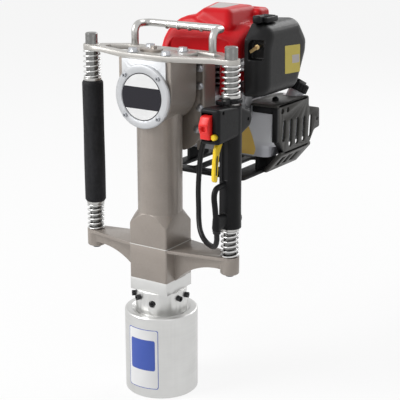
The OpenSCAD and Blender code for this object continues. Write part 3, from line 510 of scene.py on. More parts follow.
class Tree:
    """A node tree under construction, with short calls that add nodes to it."""

    def __init__(self, tree: bpy.types.NodeTree) -> None:
        """Takes on a tree."""
        self.tree = tree

    def add(
        self, kind: str, inputs: dict[str | int, object] | None = None, **settings: object
    ) -> bpy.types.Node:
        """Adds a node.

        Args:
            kind: Blender's name for the node's type.
            inputs: Values or sockets for its inputs, by name or number.
            settings: Other properties of the node.

        Returns:
            The new node.
        """
        node = self.tree.nodes.new(kind)
        for key, value in settings.items():
            setattr(node, key, value)
        for key, value in (inputs or {}).items():
            if isinstance(value, bpy.types.NodeSocket):
                self.tree.links.new(value, node.inputs[key])
            else:
                node.inputs[key].default_value = value
        return node

    def math(self, operation: str, first: Socket | float, second: Socket | float = 0.0) -> Socket:
        """Works out one sum of two numbers."""
        return self.add("ShaderNodeMath", {0: first, 1: second}, operation=operation).outputs[0]

    def seen(self) -> Socket:
        """1 for a ray from the camera, off a shiny surface or through a clear one, otherwise 0."""
        rays = self.add("ShaderNodeLightPath").outputs
        shiny = self.math("MAXIMUM", rays["Is Glossy Ray"], rays["Is Transmission Ray"])
        return self.math("MAXIMUM", rays["Is Camera Ray"], shiny)

    def blend(self, share: Socket, first: bpy.types.Node, second: bpy.types.Node) -> Socket:
        """Mixes the light of two nodes by a share from 0 to 1."""
        inputs = {0: share, 1: first.outputs[0], 2: second.outputs[0]}
        return self.add("ShaderNodeMixShader", inputs).outputs[0]


class Shader(Tree):
    """A material under construction, around its Principled shader."""

    def __init__(self, name: str, colour: Colour, roughness: float, metallic: float) -> None:
        """Starts a material with one colour, roughness and metalness."""
        self.material = bpy.data.materials.new(name)
        self.material.use_nodes = True
        super().__init__(self.material.node_tree)
        self.surface = self.tree.nodes["Principled BSDF"]
        self.set("Base Color", (*colour, 1.0))
        self.set("Roughness", roughness)
        self.set("Metallic", metallic)
        self.spot = self.add("ShaderNodeTexCoord").outputs["Object"]
        self.height: Socket | None = None

    def set(self, name: str, value: object) -> None:
        """Sets an input of the shader to a value, or links a socket to it."""
        if isinstance(value, bpy.types.NodeSocket):
            self.tree.links.new(value, self.surface.inputs[name])
        else:
            self.surface.inputs[name].default_value = value

    def stretched(self, scale: Point) -> Socket:
        """The place on the object, stretched by three factors."""
        inputs = {"Vector": self.spot, "Scale": scale}
        return self.add("ShaderNodeMapping", inputs).outputs["Vector"]

    def noise(self, scale: float, detail: float = 3.0, spot: Socket | None = None) -> Socket:
        """Noise from 0 to 1 over the object, at a scale per metre."""
        inputs = {"Vector": spot or self.spot, "Scale": scale, "Detail": detail}
        return self.add("ShaderNodeTexNoise", inputs).outputs["Fac"]

    def remap(
        self, source: Socket, low: float, high: float, start: float = 0.3, end: float = 0.7
    ) -> Socket:
        """Turns the range from start to end into the range from low to high."""
        inputs = {"Value": source, "From Min": start, "From Max": end}
        inputs |= {"To Min": low, "To Max": high}
        return self.add("ShaderNodeMapRange", inputs).outputs["Result"]

    def mix(self, share: Socket | float, first: Colour | Socket, second: Colour | Socket) -> Socket:
        """Mixes two colours by a share from 0 to 1."""
        sides = [c if isinstance(c, bpy.types.NodeSocket) else (*c, 1.0) for c in (first, second)]
        node = self.add("ShaderNodeMix", {0: share, 6: sides[0], 7: sides[1]}, data_type="RGBA")
        return node.outputs[2]

    def edge_share(self, radius: float) -> Socket:
        """Share from 0 on a flat surface to 1 on an edge, within a radius in millimetres."""
        soft = self.add("ShaderNodeBevel", {"Radius": radius * MM}, samples=4).outputs["Normal"]
        plain = self.add("ShaderNodeNewGeometry").outputs["Normal"]
        dot = self.add("ShaderNodeVectorMath", {0: soft, 1: plain}, operation="DOT_PRODUCT")
        return self.remap(dot.outputs["Value"], 1.0, 0.0, 0.82, 0.99)

    def cells(self, scale: float, **settings: object) -> dict[str, Socket]:
        """Outputs of a pattern of cells over the object, at a scale per metre."""
        inputs = {"Vector": self.spot, "Scale": scale}
        return self.add("ShaderNodeTexVoronoi", inputs, **settings).outputs

    def bump(self, height: Socket, strength: float, depth: float) -> None:
        """Adds bumps on top of those that are there already.

        Args:
            height: Height of the surface from 0 to 1.
            strength: Strength of the bumps.
            depth: Depth between 0 and 1, in millimetres.
        """
        inputs = {"Height": height, "Strength": strength, "Distance": depth * MM}
        if self.height is not None:
            inputs["Normal"] = self.height
        self.height = self.add("ShaderNodeBump", inputs).outputs["Normal"]
        self.set("Normal", self.height)


@dataclass(frozen=True)
class Finish:
    """A surface finish. Its colour varies in soft patches and it has a fine grain."""

    name: str
    colour: Colour
    roughness: float
    metallic: float = 0.0
    vary: float = 0.10
    patch: float = 35.0
    grain: float = 0.15
    grain_scale: float = 1400.0
    coat: float = 0.0
    specular: float = 0.5

    def shade(self, factor: float) -> Colour:
        """The finish's colour, lighter or darker by a factor."""
        return tuple(min(1.0, c * factor) for c in self.colour)

    def patches(self, shader: Shader) -> Socket:
        """The finish's colour, lighter and darker in soft patches."""
        share = shader.remap(shader.noise(self.patch, 4.0), 0, 1)
        return shader.mix(share, self.shade(1 - self.vary), self.shade(1 + self.vary))

    def make(self) -> bpy.types.Material:
        """Makes the material.

        Returns:
            The finished material.
        """
        shader = Shader(self.name, self.colour, self.roughness, self.metallic)
        shader.set("Base Color", self.patches(shader))
        fine = shader.noise(self.patch * 6, 3.0)
        shader.set("Roughness", shader.remap(fine, self.roughness * 0.88, self.roughness * 1.12))
        shader.set("Coat Weight", self.coat)
        shader.set("Specular IOR Level", self.specular)
        shader.bump(shader.noise(self.grain_scale, 2.0), self.grain, 0.08)
        self.dress(shader)
        return shader.material

    def dress(self, shader: Shader) -> None:
        """Adds what is special to one kind of finish. A plain finish adds nothing."""


@dataclass(frozen=True)
class CastingPaint(Finish):
    """Metallic paint on a sand casting: fine flakes, orange peel and rubbed edges."""

    wear: Colour = (0.62, 0.58, 0.54)
    flake: float = 2600.0
    peel: float = 420.0
    scratch: float = 300.0
    edge: float = 0.8

    def dress(self, shader: Shader) -> None:
        """Adds flakes, peel and worn edges."""
        flakes = shader.cells(self.flake)["Color"]
        spark = shader.add("ShaderNodeSeparateColor", {"Color": flakes}).outputs[0]
        bright = shader.remap(spark, 0.0, 0.35, 0.6, 1.0)
        glitter = shader.mix(bright, self.patches(shader), self.shade(1.5))
        scratches = shader.remap(shader.noise(self.scratch, 6.0), 0.0, 1.0, 0.42, 0.6)
        rubbed = shader.math("MULTIPLY", shader.edge_share(self.edge), scratches)
        shader.set("Base Color", shader.mix(rubbed, glitter, self.wear))
        shader.bump(shader.noise(self.peel, 2.0), 0.25, 0.12)


@dataclass(frozen=True)
class Turned(Finish):
    """Metal from a lathe: fine rings along one axis, with a faint streak here and there."""

    rings: Point = (0.0, 0.0, 1.0)
    pitch: float = 2200.0
    score: float = 0.12

    def dress(self, shader: Shader) -> None:
        """Adds the tool's rings."""
        spot = shader.stretched(tuple(max(r, 0.01) for r in self.rings))
        lines = shader.noise(self.pitch, 2.0, spot)
        broad = shader.noise(self.pitch / 9, 3.0, spot)
        shader.set("Roughness", shader.remap(broad, self.roughness * 0.75, self.roughness * 1.35))
        shader.bump(lines, self.score, 0.02)


@dataclass(frozen=True)
class Moulding(Finish):
    """Moulded plastic with a fine spark-eroded grain, paler where it is rubbed."""

    rub: float = 1.7
    leather: float = 1100.0
    edge: float = 0.7

    def dress(self, shader: Shader) -> None:
        """Adds a leather-like grain and rubbed edges."""
        grain = shader.cells(self.leather, feature="DISTANCE_TO_EDGE")["Distance"]
        shader.bump(grain, 0.12, 0.06)
        worn = shader.math("MULTIPLY", shader.edge_share(self.edge), 0.5)
        shader.set("Base Color", shader.mix(worn, self.patches(shader), self.shade(self.rub)))


@dataclass(frozen=True)
class Foam(Finish):
    """Closed-cell grip foam: matt, with small pores and faint handling marks."""

    pore: float = 900.0
    mark: float = 90.0

    def dress(self, shader: Shader) -> None:
        """Adds pores and long faint marks."""
        shader.bump(shader.cells(self.pore)["Distance"], 0.5, 0.12)
        marks = shader.noise(self.mark, 5.0, shader.stretched((1.0, 1.0, 0.25)))
        share = shader.remap(marks, 0, 1, 0.42, 0.7)
        shader.set("Base Color", shader.mix(share, self.colour, self.shade(1.8)))


@dataclass(frozen=True)
class MilkyTank(Finish):
    """Translucent blow-moulded plastic, darker where fuel stands behind it."""

    fuel: Colour = (0.55, 0.56, 0.60)
    fuel_level: float = 392.0
    glow: float = 0.35
    depth: float = 20.0
    clear: float = 0.12

    def dress(self, shader: Shader) -> None:
        """Adds the shade of the fuel and some light through the wall."""
        height = shader.add("ShaderNodeSeparateXYZ", {"Vector": shader.spot}).outputs["Z"]
        low, high = (self.fuel_level - 6) * MM, (self.fuel_level + 10) * MM
        wet = shader.remap(height, 1.0, 0.0, low, high)
        shader.set("Base Color", shader.mix(wet, self.colour, self.fuel))
        shader.set("Subsurface Weight", self.glow)
        shader.set("Subsurface Radius", metres((self.depth,) * 3))
        shader.set("Transmission Weight", self.clear)


@dataclass(frozen=True)
class HotSteel(Finish):
    """Stamped exhaust steel, tinted straw and blue by heat."""

    tint: Colour = (0.36, 0.27, 0.20)
    spread: float = 22.0

    def dress(self, shader: Shader) -> None:
        """Adds heat tints."""
        heat = shader.remap(shader.noise(self.spread, 5.0), 0, 1, 0.4, 0.65)
        shader.set("Base Color", shader.mix(heat, self.colour, self.tint))


@dataclass(frozen=True)
class Braid(Finish):
    """Braided starter rope."""

    strand: Point = (900, 900, 700)

    def dress(self, shader: Shader) -> None:
        """Adds two crossing bands of strands."""
        for lean in (1.0, -1.0):
            across, round_it, along = self.strand
            spot = shader.stretched((across * lean, round_it, along))
            inputs = {"Vector": spot, "Scale": 0.3, "Distortion": 0.5}
            shader.bump(shader.add("ShaderNodeTexWave", inputs).outputs["Fac"], 0.4, 0.3)


@dataclass(frozen=True)
class Printed(Finish):
    """Printed vinyl: smooth, with a faint ripple from the surface under it."""

    ripple: float = 160.0

    def dress(self, shader: Shader) -> None:
        """Adds the ripple."""
        shader.bump(shader.noise(self.ripple, 2.0), 0.12, 0.1)


CASTING = CastingPaint("casting_paint", (0.300, 0.264, 0.234), 0.40, 0.35, vary=0.05, coat=0.15)
# A darker copy of the casting paint for the clutch housing: painted shade, for the side of the
# machine that lies in shade.
SHADED_BELL_PAINT = CastingPaint("bell_paint_painted_shade", (0.235, 0.205, 0.180), 0.42, 0.35, vary=0.06, coat=0.12)
CUP = Turned("turned_cup", (0.64, 0.64, 0.63), 0.36, 1.0, vary=0.03, grain=0.03)
COVER = Finish(
    "bead_blasted", (0.56, 0.57, 0.585), 0.42, 0.85, vary=0.04, grain=0.2, grain_scale=2400
)
PLATE = Finish(
    "milled_plate", (0.46, 0.445, 0.42), 0.40, 0.8, vary=0.04, grain=0.10, grain_scale=1800
)
BAR = Finish(
    "ground_bar", (0.49, 0.485, 0.47), 0.34, 1.0, vary=0.03, patch=20, grain=0.02, grain_scale=500
)
ROD = Turned("guide_rod", (0.21, 0.21, 0.205), 0.30, 1.0, vary=0.06, grain=0.02, pitch=1400)
SPRING = Finish("spring_wire", (0.62, 0.62, 0.61), 0.34, 1.0, vary=0.05, patch=160, grain=0.02)
ZINC = Finish("zinc_plate", (0.42, 0.43, 0.45), 0.36, 1.0, vary=0.08, patch=120, grain=0.03)
TOOL_STEEL = Turned("tool_steel", (0.46, 0.46, 0.47), 0.32, 1.0, vary=0.06, grain=0.05)
BLACK_STEEL = Finish("blackened_steel", (0.020, 0.020, 0.022), 0.38, 0.5, vary=0.25, patch=150)
CAST_ALLOY = Finish(
    "cast_alloy", (0.34, 0.34, 0.35), 0.50, 0.9, vary=0.08, grain=0.35, grain_scale=900
)
GASKET = Finish("gasket", (0.72, 0.71, 0.68), 0.7, vary=0.05)
BLACK = Moulding("black_plastic", (0.0075, 0.0075, 0.0085), 0.42, vary=0.12, specular=0.15)
CLEANER = Moulding(
    "cleaner_plastic", (0.0095, 0.0095, 0.010), 0.38, vary=0.12, rub=1.5, specular=0.2
)
GUARD = Moulding("guard_plastic", (0.050, 0.048, 0.044), 0.46, vary=0.10, rub=1.4, specular=0.3)
PAN = Moulding("pan_plastic", (0.008, 0.008, 0.0085), 0.5, vary=0.15, specular=0.15)
RED = Finish(
    "red_hood", (0.66, 0.009, 0.015), 0.38,
    vary=0.05, patch=14, grain=0.03, grain_scale=700, specular=0.2,
)
SWITCH_RED = Finish("switch_red", (0.80, 0.020, 0.018), 0.36, vary=0.05, grain=0.10, specular=0.35)
YELLOW = Finish("trigger_yellow", (0.90, 0.62, 0.02), 0.36, vary=0.05, grain=0.10, specular=0.35)
TANK = MilkyTank(
    "tank_plastic", (0.76, 0.77, 0.80), 0.36, vary=0.02, grain=0.03, grain_scale=300, specular=0.4
)
RUBBER = Foam("grip_foam", (0.0115, 0.0115, 0.013), 0.72, vary=0.15, specular=0.25)
SHEATH = Finish(
    "cable_sheath", (0.010, 0.010, 0.011), 0.42,
    vary=0.15, grain=0.10, grain_scale=500, specular=0.3,
)
EXHAUST = HotSteel("exhaust_steel", (0.44, 0.42, 0.39), 0.42, 0.9, vary=0.10)
BRASS = Finish("brass_plate", (0.58, 0.42, 0.20), 0.34, 1.0, vary=0.12, patch=150)
ROPE = Braid("starter_rope", (0.70, 0.70, 0.66), 0.8, vary=0.08)
WHITE_LABEL = Printed("label_white", (0.78, 0.78, 0.78), 0.38, vary=0.01, specular=0.4)
BLACK_LABEL = Printed("label_black", (0.012, 0.011, 0.017), 0.32, vary=0.03, specular=0.3)
BLUE_LABEL = Printed("label_blue", (0.060, 0.11, 0.44), 0.34, vary=0.03, specular=0.3)
YELLOW_LABEL = Printed("label_yellow", (0.62, 0.50, 0.07), 0.36, vary=0.03, specular=0.3)
OCHRE_LABEL = Printed("label_ochre", (0.80, 0.54, 0.14), 0.36, vary=0.04, specular=0.3)
GREY_LABEL = Printed("label_grey", (0.50, 0.46, 0.45), 0.34, vary=0.04, specular=0.3)

_made: dict[str, bpy.types.Material] = {}


def material_of(finish: Finish) -> bpy.types.Material:
    """The material of a finish, made once."""
    if finish.name not in _made:
        _made[finish.name] = finish.make()
    return _made[finish.name]


def dress(piece: Piece, finish: Finish) -> Piece:
    """Gives a piece one finish.

    Args:
        piece: The piece, or a CAD node.
        finish: Its finish.

    Returns:
        The same piece.
    """
    piece.data.materials.clear()
    piece.data.materials.append(material_of(finish))
    return piece


def dress_nodes(finishes: dict[str, Finish], edge: float = 0.5) -> None:
    """Gives CAD nodes their finish and softens their edges, which leaves their own mesh as it is.

    Args:
        finishes: The finish of each node, by the node's name.
        edge: Radius of the softened edges, in millimetres.
    """
    for name, finish in finishes.items():
        node = dress(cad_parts[name], finish)
        node.data.shade_smooth()
        weld = node.modifiers.new("weld", "WELD")
        weld.merge_threshold = WELD_GAP * MM
        soft = node.modifiers.new("soft_edges", "BEVEL")
        soft.width = edge * MM
        soft.segments = 2
        soft.limit_method = "ANGLE"
        soft.angle_limit = BEVELLED_NODE
        soft.harden_normals = True
        log.info("CAD node %s wears %s", name, finish.name)


@dataclass(frozen=True)
class Fit:
    """How a piece belongs to the model: its body, its record slot and the nodes it replaces."""

    body: str
    slot: str
    nodes: tuple[str, ...] = ()


def fit(piece: Piece, belongs: Fit, finish: Finish | None = None) -> Piece:
    """Dresses a piece and ties it to its body.

    Args:
        piece: The piece.
        belongs: Its body, slot and the nodes that it stands for.
        finish: Its finish, unless it is dressed already.

    Returns:
        The same piece.
    """
    if finish:
        dress(piece, finish)
    if belongs.nodes:
        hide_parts(*belongs.nodes)
    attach(piece, belongs.body)
    log.info("piece %s rides on %s", piece.name, belongs.body)
    return piece


# ---------------------------------------------------------------- studio


def stand(name: str, data: bpy.types.ID, spot: Vector, heading: Vector) -> Piece:
    """Puts a camera or a lamp in the scene.

    Args:
        name: Its name.
        data: The camera's or the lamp's own data.
        spot: Its place, in metres.
        heading: Direction that it looks in.

    Returns:
        The new object.
    """
    made = bpy.data.objects.new(name, data)
    bpy.context.scene.collection.objects.link(made)
    made.location = spot
    made.rotation_mode = "QUATERNION"
    made.rotation_quaternion = heading.to_track_quat("-Z", "Y")
    return made


@dataclass(frozen=True)
class Lamp:
    """A square soft lamp: its place and side in millimetres, and its power in watts."""

    name: str
    spot: Point
    side: float
    power: float

    def build(self, aim: Point) -> None:
        """Adds the lamp and points it at a place."""
        data = bpy.data.lights.new(self.name, "AREA")
        data.size = self.side * MM
        data.energy = self.power
        spot = metres(self.spot)
        stand(self.name, data, spot, metres(aim) - spot)


@dataclass
class Studio:
    """Camera, floor and plain light, as in a catalogue picture on white."""

    azimuth: float = 33.39
    elevation: float = 16.45
    distance: float = 1852.6
    target: Point = (53.2, 35.07, 321.46)
    lens: float = 103.95
    sensor: float = 36.0
    floor_half: float = 12000.0
    floor_glow: float = 0.86
    sky: float = 0.41
    sky_low: Colour = (0.42, 0.42, 0.43)
    sky_white_from: float = 0.55
    aim: Point = (0, 60, 330)
    lamps: tuple[Lamp, ...] = (
        Lamp("key", (-1500, -1700, 1900), 1300, 59),
        Lamp("fill", (2300, -1300, 1100), 1200, 3),
        Lamp("rim", (300, 2300, 1800), 1400, 24),
    )

    def back(self) -> Vector:
        """Direction from the target to the camera."""
        a, e = math.radians(self.azimuth), math.radians(self.elevation)
        return Vector((math.sin(a) * math.cos(e), -math.cos(a) * math.cos(e), math.sin(e)))

    def camera(self) -> None:
        """Puts the camera where the photograph was taken from."""
        data = bpy.data.cameras.new("camera")
        data.lens = self.lens
        data.sensor_width = self.sensor
        data.clip_end = 100.0
        spot = metres(Vector(self.target) + self.back() * self.distance)
        bpy.context.scene.camera = stand("camera", data, spot, -self.back())

    def world(self) -> None:
        """Lights the object softly from all round, with a white background behind it."""
        world = bpy.data.worlds.new("studio")
        bpy.context.scene.world = world
        world.use_nodes = True
        world.node_tree.nodes.clear()
        tree = Tree(world.node_tree)
        spot = tree.add("ShaderNodeTexCoord").outputs["Generated"]
        rise = tree.add("ShaderNodeSeparateXYZ", {0: spot}).outputs["Z"]
        ramp = tree.add("ShaderNodeValToRGB", {0: rise})
        low, high = ramp.color_ramp.elements
        low.position, low.color = 0.0, (*self.sky_low, 1)
        high.position, high.color = self.sky_white_from, WHITE
        soft = tree.add("ShaderNodeBackground", {"Color": ramp.outputs[0], "Strength": self.sky})
        white = tree.add("ShaderNodeBackground", {"Color": WHITE})
        tree.add("ShaderNodeOutputWorld", {0: tree.blend(tree.seen(), soft, white)})

    def floor(self) -> None:
        """Lays the pale floor that the cup stands on. It keeps the object's shadow."""
        half = self.floor_half
        corners = [(-half, -half, 0), (half, -half, 0), (half, half, 0), (-half, half, 0)]
        floor = from_points("floor", corners, [(0, 1, 2, 3)], smooth=False)
        shader = Shader("pale_floor", (0.9, 0.9, 0.9), 0.9, 0.0)
        glow = shader.add("ShaderNodeEmission", {"Color": WHITE, "Strength": 1.0})
        share = shader.math("MULTIPLY", shader.seen(), self.floor_glow)
        out = shader.tree.nodes["Material Output"].inputs["Surface"]
        shader.tree.links.new(shader.blend(share, shader.surface, glow), out)
        floor.data.materials.append(shader.material)

    def build(self) -> None:
        """Builds the studio."""
        bpy.context.scene.view_settings.view_transform = "Standard"
        self.camera()
        self.world()
        self.floor()
        for lamp in self.lamps:
            lamp.build(self.aim)
        log.info("studio is ready")


# ---------------------------------------------------------------- cords and springs

CABLE_ROUTE = (
    (0.132, -0.038, 0.298), (0.132, -0.038, 0.293), (0.132, -0.038, 0.288),
    (0.129, -0.036, 0.280), (0.122, -0.031, 0.274), (0.111, -0.022, 0.271),
    (0.098, -0.012, 0.270), (0.084, -0.002, 0.273), (0.072, 0.007, 0.282),
    (0.065, 0.014, 0.296), (0.062, 0.018, 0.312), (0.060, 0.020, 0.343),
    (0.061, 0.021, 0.373), (0.063, 0.023, 0.402), (0.066, 0.030, 0.426),
    (0.071, 0.044, 0.444), (0.075, 0.062, 0.454), (0.076, 0.076, 0.457),
    (0.076, 0.082, 0.457), (0.076, 0.088, 0.457),
)


@dataclass
class ThrottleCable:
    """The sheathed throttle cable from the right handle to the carburettor."""

    diameter: float = 8.5
    steps: int = 8
    blend_start: Point = (0.062, 0.018, 0.312)
    blend_end: Point = (0.128, -0.035, 0.290)

    def build(self) -> None:
        path = smooth_route([tuple(c / MM for c in p) for p in CABLE_ROUTE], self.steps)
        cable = sweep("throttle_cable_sheath", path, self.diameter / 2, 20)
        dress(cable, SHEATH)
        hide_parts("throttle_cable")
        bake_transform(cable)
        log.info("throttle cable is %.0f mm long", path_length(path))


@dataclass
class CoilSpring:
    """A compression spring with closed ends, between the machine and a handle."""

    name: str
    x: float
    z_fixed: float
    z_handle: float
    handle: str
    node: str
    radius: float = 13.0
    wire: float = 3.0
    turns: float = 5.0
    flat_turns: float = 0.75
    steps: int = 20
    tip: float = 0.06
    tuck: float = 0.12

    @property
    def all_turns(self) -> float:
        """Turns of the wire, the flat ones at both ends included."""
        return self.turns + 2 * self.flat_turns

    def rise(self, share: float) -> float:
        """Height of the wire's centre along the spring, with flat turns at both ends.

        Args:
            share: Share of the wire's turns, from 0 to 1.

        Returns:
            Share of the spring's height between its end turns.
        """
        flat = self.flat_turns / self.all_turns
        return min(1.0, max(0.0, (share - flat) / (1 - 2 * flat)))

    def build(self) -> None:
        """Winds the spring."""
        low, high = sorted((self.z_fixed, self.z_handle))
        half = self.wire / 2
        count = int(self.all_turns * self.steps)
        path = []
        for k in range(count + 1):
            share = k / count
            turn = math.tau * share * self.all_turns
            lift = half + self.rise(share) * (high - low - 2 * half)
            at_tip = min(share, 1 - share) < self.tip
            ring = self.radius - (self.tuck * self.wire if at_tip else 0.0)
            path.append(Vector((self.x + ring * math.cos(turn), ring * math.sin(turn), low + lift)))
        spring = dress(sweep(self.name, path, half, 12), SPRING)
        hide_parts(self.node)
        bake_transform(spring)
        log.info("spring %s has %.1f turns", self.name, self.turns)


def coils(side: str, x: float) -> None:
    """Winds the lower and the upper spring of the handle on one side.

    Args:
        side: The side, left or right.
        x: Where the guide rod stands, in millimetres.
    """
    for end, fixed, moving in (("lower", 252, 295), ("upper", 553, 508)):
        name, node = f"{side}_{end}_coil", f"{side}_{end}_spring"
        CoilSpring(name, x, fixed, moving, f"{side}_handle", node).build()


# ---------------------------------------------------------------- driving end and column


@dataclass
class DrivingEnd:
    """Driving cup, neck and anvil, with the plain label panel on the cup."""

    cup_radius: float = 60.0
    label_from: float = -114.0
    label_to: float = -60.0
    label_low: float = 17.0
    label_high: float = 120.0
    border: float = 1.1
    inner_border: float = 5.5
    panel_low: float = 49.0
    panel_high: float = 102.0
    corner: float = 3.0
    sunk: float = 0.2
    steps: int = 36

    def panel(
        self, name: str, inset: float, low: float, high: float, proud: float, finish: Finish
    ) -> Piece:
        """Makes a curved label with round corners.

        Args:
            name: Name of the piece.
            inset: Distance from the label's sides, in millimetres.
            low: Lowest height.
            high: Highest height.
            proud: How far it stands off the cup.
            finish: Its print.

        Returns:
            The label.
        """
        to_degrees = 360 / (math.tau * self.cup_radius)
        first = self.label_from + inset * to_degrees
        last = self.label_to - inset * to_degrees
        corner, top, back = self.corner, self.cup_radius + proud, self.cup_radius - self.sunk
        rings = []
        for k in range(self.steps + 1):
            share = k / self.steps
            angle = math.radians(first + (last - first) * share)
            side = min(share, 1 - share) * (last - first) / to_degrees
            dip = corner - math.sqrt(max(0.0, corner**2 - max(0.0, corner - side) ** 2))
            rows = [(top, low + dip), (top, high - dip), (back, high - dip), (back, low + dip)]
            rings.append([(r * math.cos(angle), r * math.sin(angle), z) for r, z in rows])
        return fit(skin(name, rings), Fit("frame", "cup_aluminium"), finish)

    def build(self) -> None:
        """Dresses the driving end and puts the blank label on it."""
        dress_nodes({"driving_cup": CUP, "neck_collar": CUP, "anvil": TOOL_STEEL}, 0.6)
        dress_nodes({"neck_screws": BLACK_STEEL}, 0.3)
        low, high, edge = self.label_low, self.label_high, self.border
        self.panel("cup_label_border", 0, low, high, 0.12, BLUE_LABEL)
        self.panel("cup_label_field", edge, low + edge, high - edge, 0.2, WHITE_LABEL)
        middle = (self.inner_border, self.panel_low, self.panel_high)
        self.panel("cup_label_panel", *middle, 0.28, BLUE_LABEL)


@dataclass
class Column:
    """Castings, front cover and drive parts of the hammer column."""

    crank_height: float = 497.0
    face: float = -46.5
    label_radius: float = 37.2
    ring: float = 1.4
    band_low: float = -19.0
    band_high: float = 15.0

    def disc(self, name: str, outline: Sequence[Flat], proud: float, finish: Finish) -> None:
        """Makes one flat print of the front label.

        Args:
            name: Name of the piece.
            outline: Its outline about the crank's axis.
            proud: How far it stands off the cover.
            finish: Its print.
        """
        shifted = [(x, z + self.crank_height) for x, z in outline]
        print_ = slab(name, shifted, Plane.XZ, self.face - proud, self.face + 0.1)
        fit(print_, Fit("frame", "cup_aluminium"), finish)

    def band(self, radius: float) -> list[Flat]:
        """Outline of the dark band across the label, inside a radius."""
        high = math.degrees(math.asin(self.band_high / radius))
        low = math.degrees(math.asin(self.band_low / radius))
        return arc((0, 0), radius, low, high, 14) + arc((0, 0), radius, 180 - high, 180 - low, 14)

    def front_label(self) -> None:
        """Lays the plain disc, its dark ring and its dark band on the front cover."""
        inner = self.label_radius - self.ring
        full, small = (arc((0, 0), r, 0, 360, 72)[:-1] for r in (self.label_radius, inner))
        self.disc("front_label_ring", full, 0.15, BLACK_LABEL)
        self.disc("front_label_disc", small, 0.22, WHITE_LABEL)
        self.disc("front_label_band", self.band(inner), 0.28, BLACK_LABEL)

    def build(self) -> None:
        """Dresses the column and lays the label on its cover."""
        dress_nodes(dict.fromkeys(("lower_casting", "upper_casting", "grease_cover"), CASTING), 0.9)
        dress_nodes({"casting_gasket": GASKET, "front_cover_screws": ZINC}, 0.15)
        dress_nodes({"front_cover": COVER}, 0.5)
        hidden = ("cylinder_liner", "ram", "wrist_pin", "crankshaft", "crank_bearing")
        dress_nodes(dict.fromkeys((*hidden, "reduction_gear"), TOOL_STEEL), 0.2)
        rods = {"ram_buffer": SHEATH, "drive_piston": CAST_ALLOY, "connecting_rod": CAST_ALLOY}
        dress_nodes(rods, 0.2)
        self.front_label()


@dataclass
class Top:
    """Top plate, its bolts and the carry handle."""

    def build(self) -> None:
        """Dresses the top."""
        dress_nodes({"top_plate": PLATE}, 0.8)
        dress_nodes({"plate_bolts": ZINC, "rod_screws": BLACK_STEEL}, 0.35)
        dress_nodes({"carry_handle": BAR}, 0.2)
        dress_nodes({"left_guide_rod": ROD, "right_guide_rod": ROD}, 0.4)


# ---------------------------------------------------------------- handles


@dataclass
class LeftHandle:
    """The plain left grip on its sliding tube, between two springs."""

    x: float = -132.0
    low: float = 300.0
    high: float = 503.0
    radius: float = 17.5
    bore: float = 13.1
    wave: float = 0.25
    end_round: float = 2.2
    slack: float = 0.3
    steps: int = 60
    sides: int = 48

    def foam(self) -> Piece:
        """Turns the foam grip, with soft ends and a slightly uneven wall."""
        outer = []
        long, curve = self.high - self.low, self.end_round
        for k in range(self.steps + 1):
            share = k / self.steps
            short = max(0.0, curve - min(share, 1 - share) * long)
            round_off = curve - math.sqrt(max(0.0, curve**2 - short**2))
            swell = self.wave * math.sin(share * 7.0) * math.sin(math.pi * share)
            outer.append((self.radius - round_off - self.slack + swell, self.low + share * long))
        profile = [(self.bore, self.low), *outer, (self.bore, self.high)]
        rings = [
            [(self.x + r * math.cos(a), r * math.sin(a), h) for a in circle(self.sides)]
            for r, h in profile
        ]
        return skin("left_grip_foam", rings, closed=True)

    def build(self) -> None:
        """Builds the grip and its springs."""
        dress_nodes({"left_grip_tube": BAR}, 0.3)
        fit(self.foam(), Fit("left_handle", "grip_rubber", ("left_grip_rubber",)), RUBBER)
        coils("left", self.x)


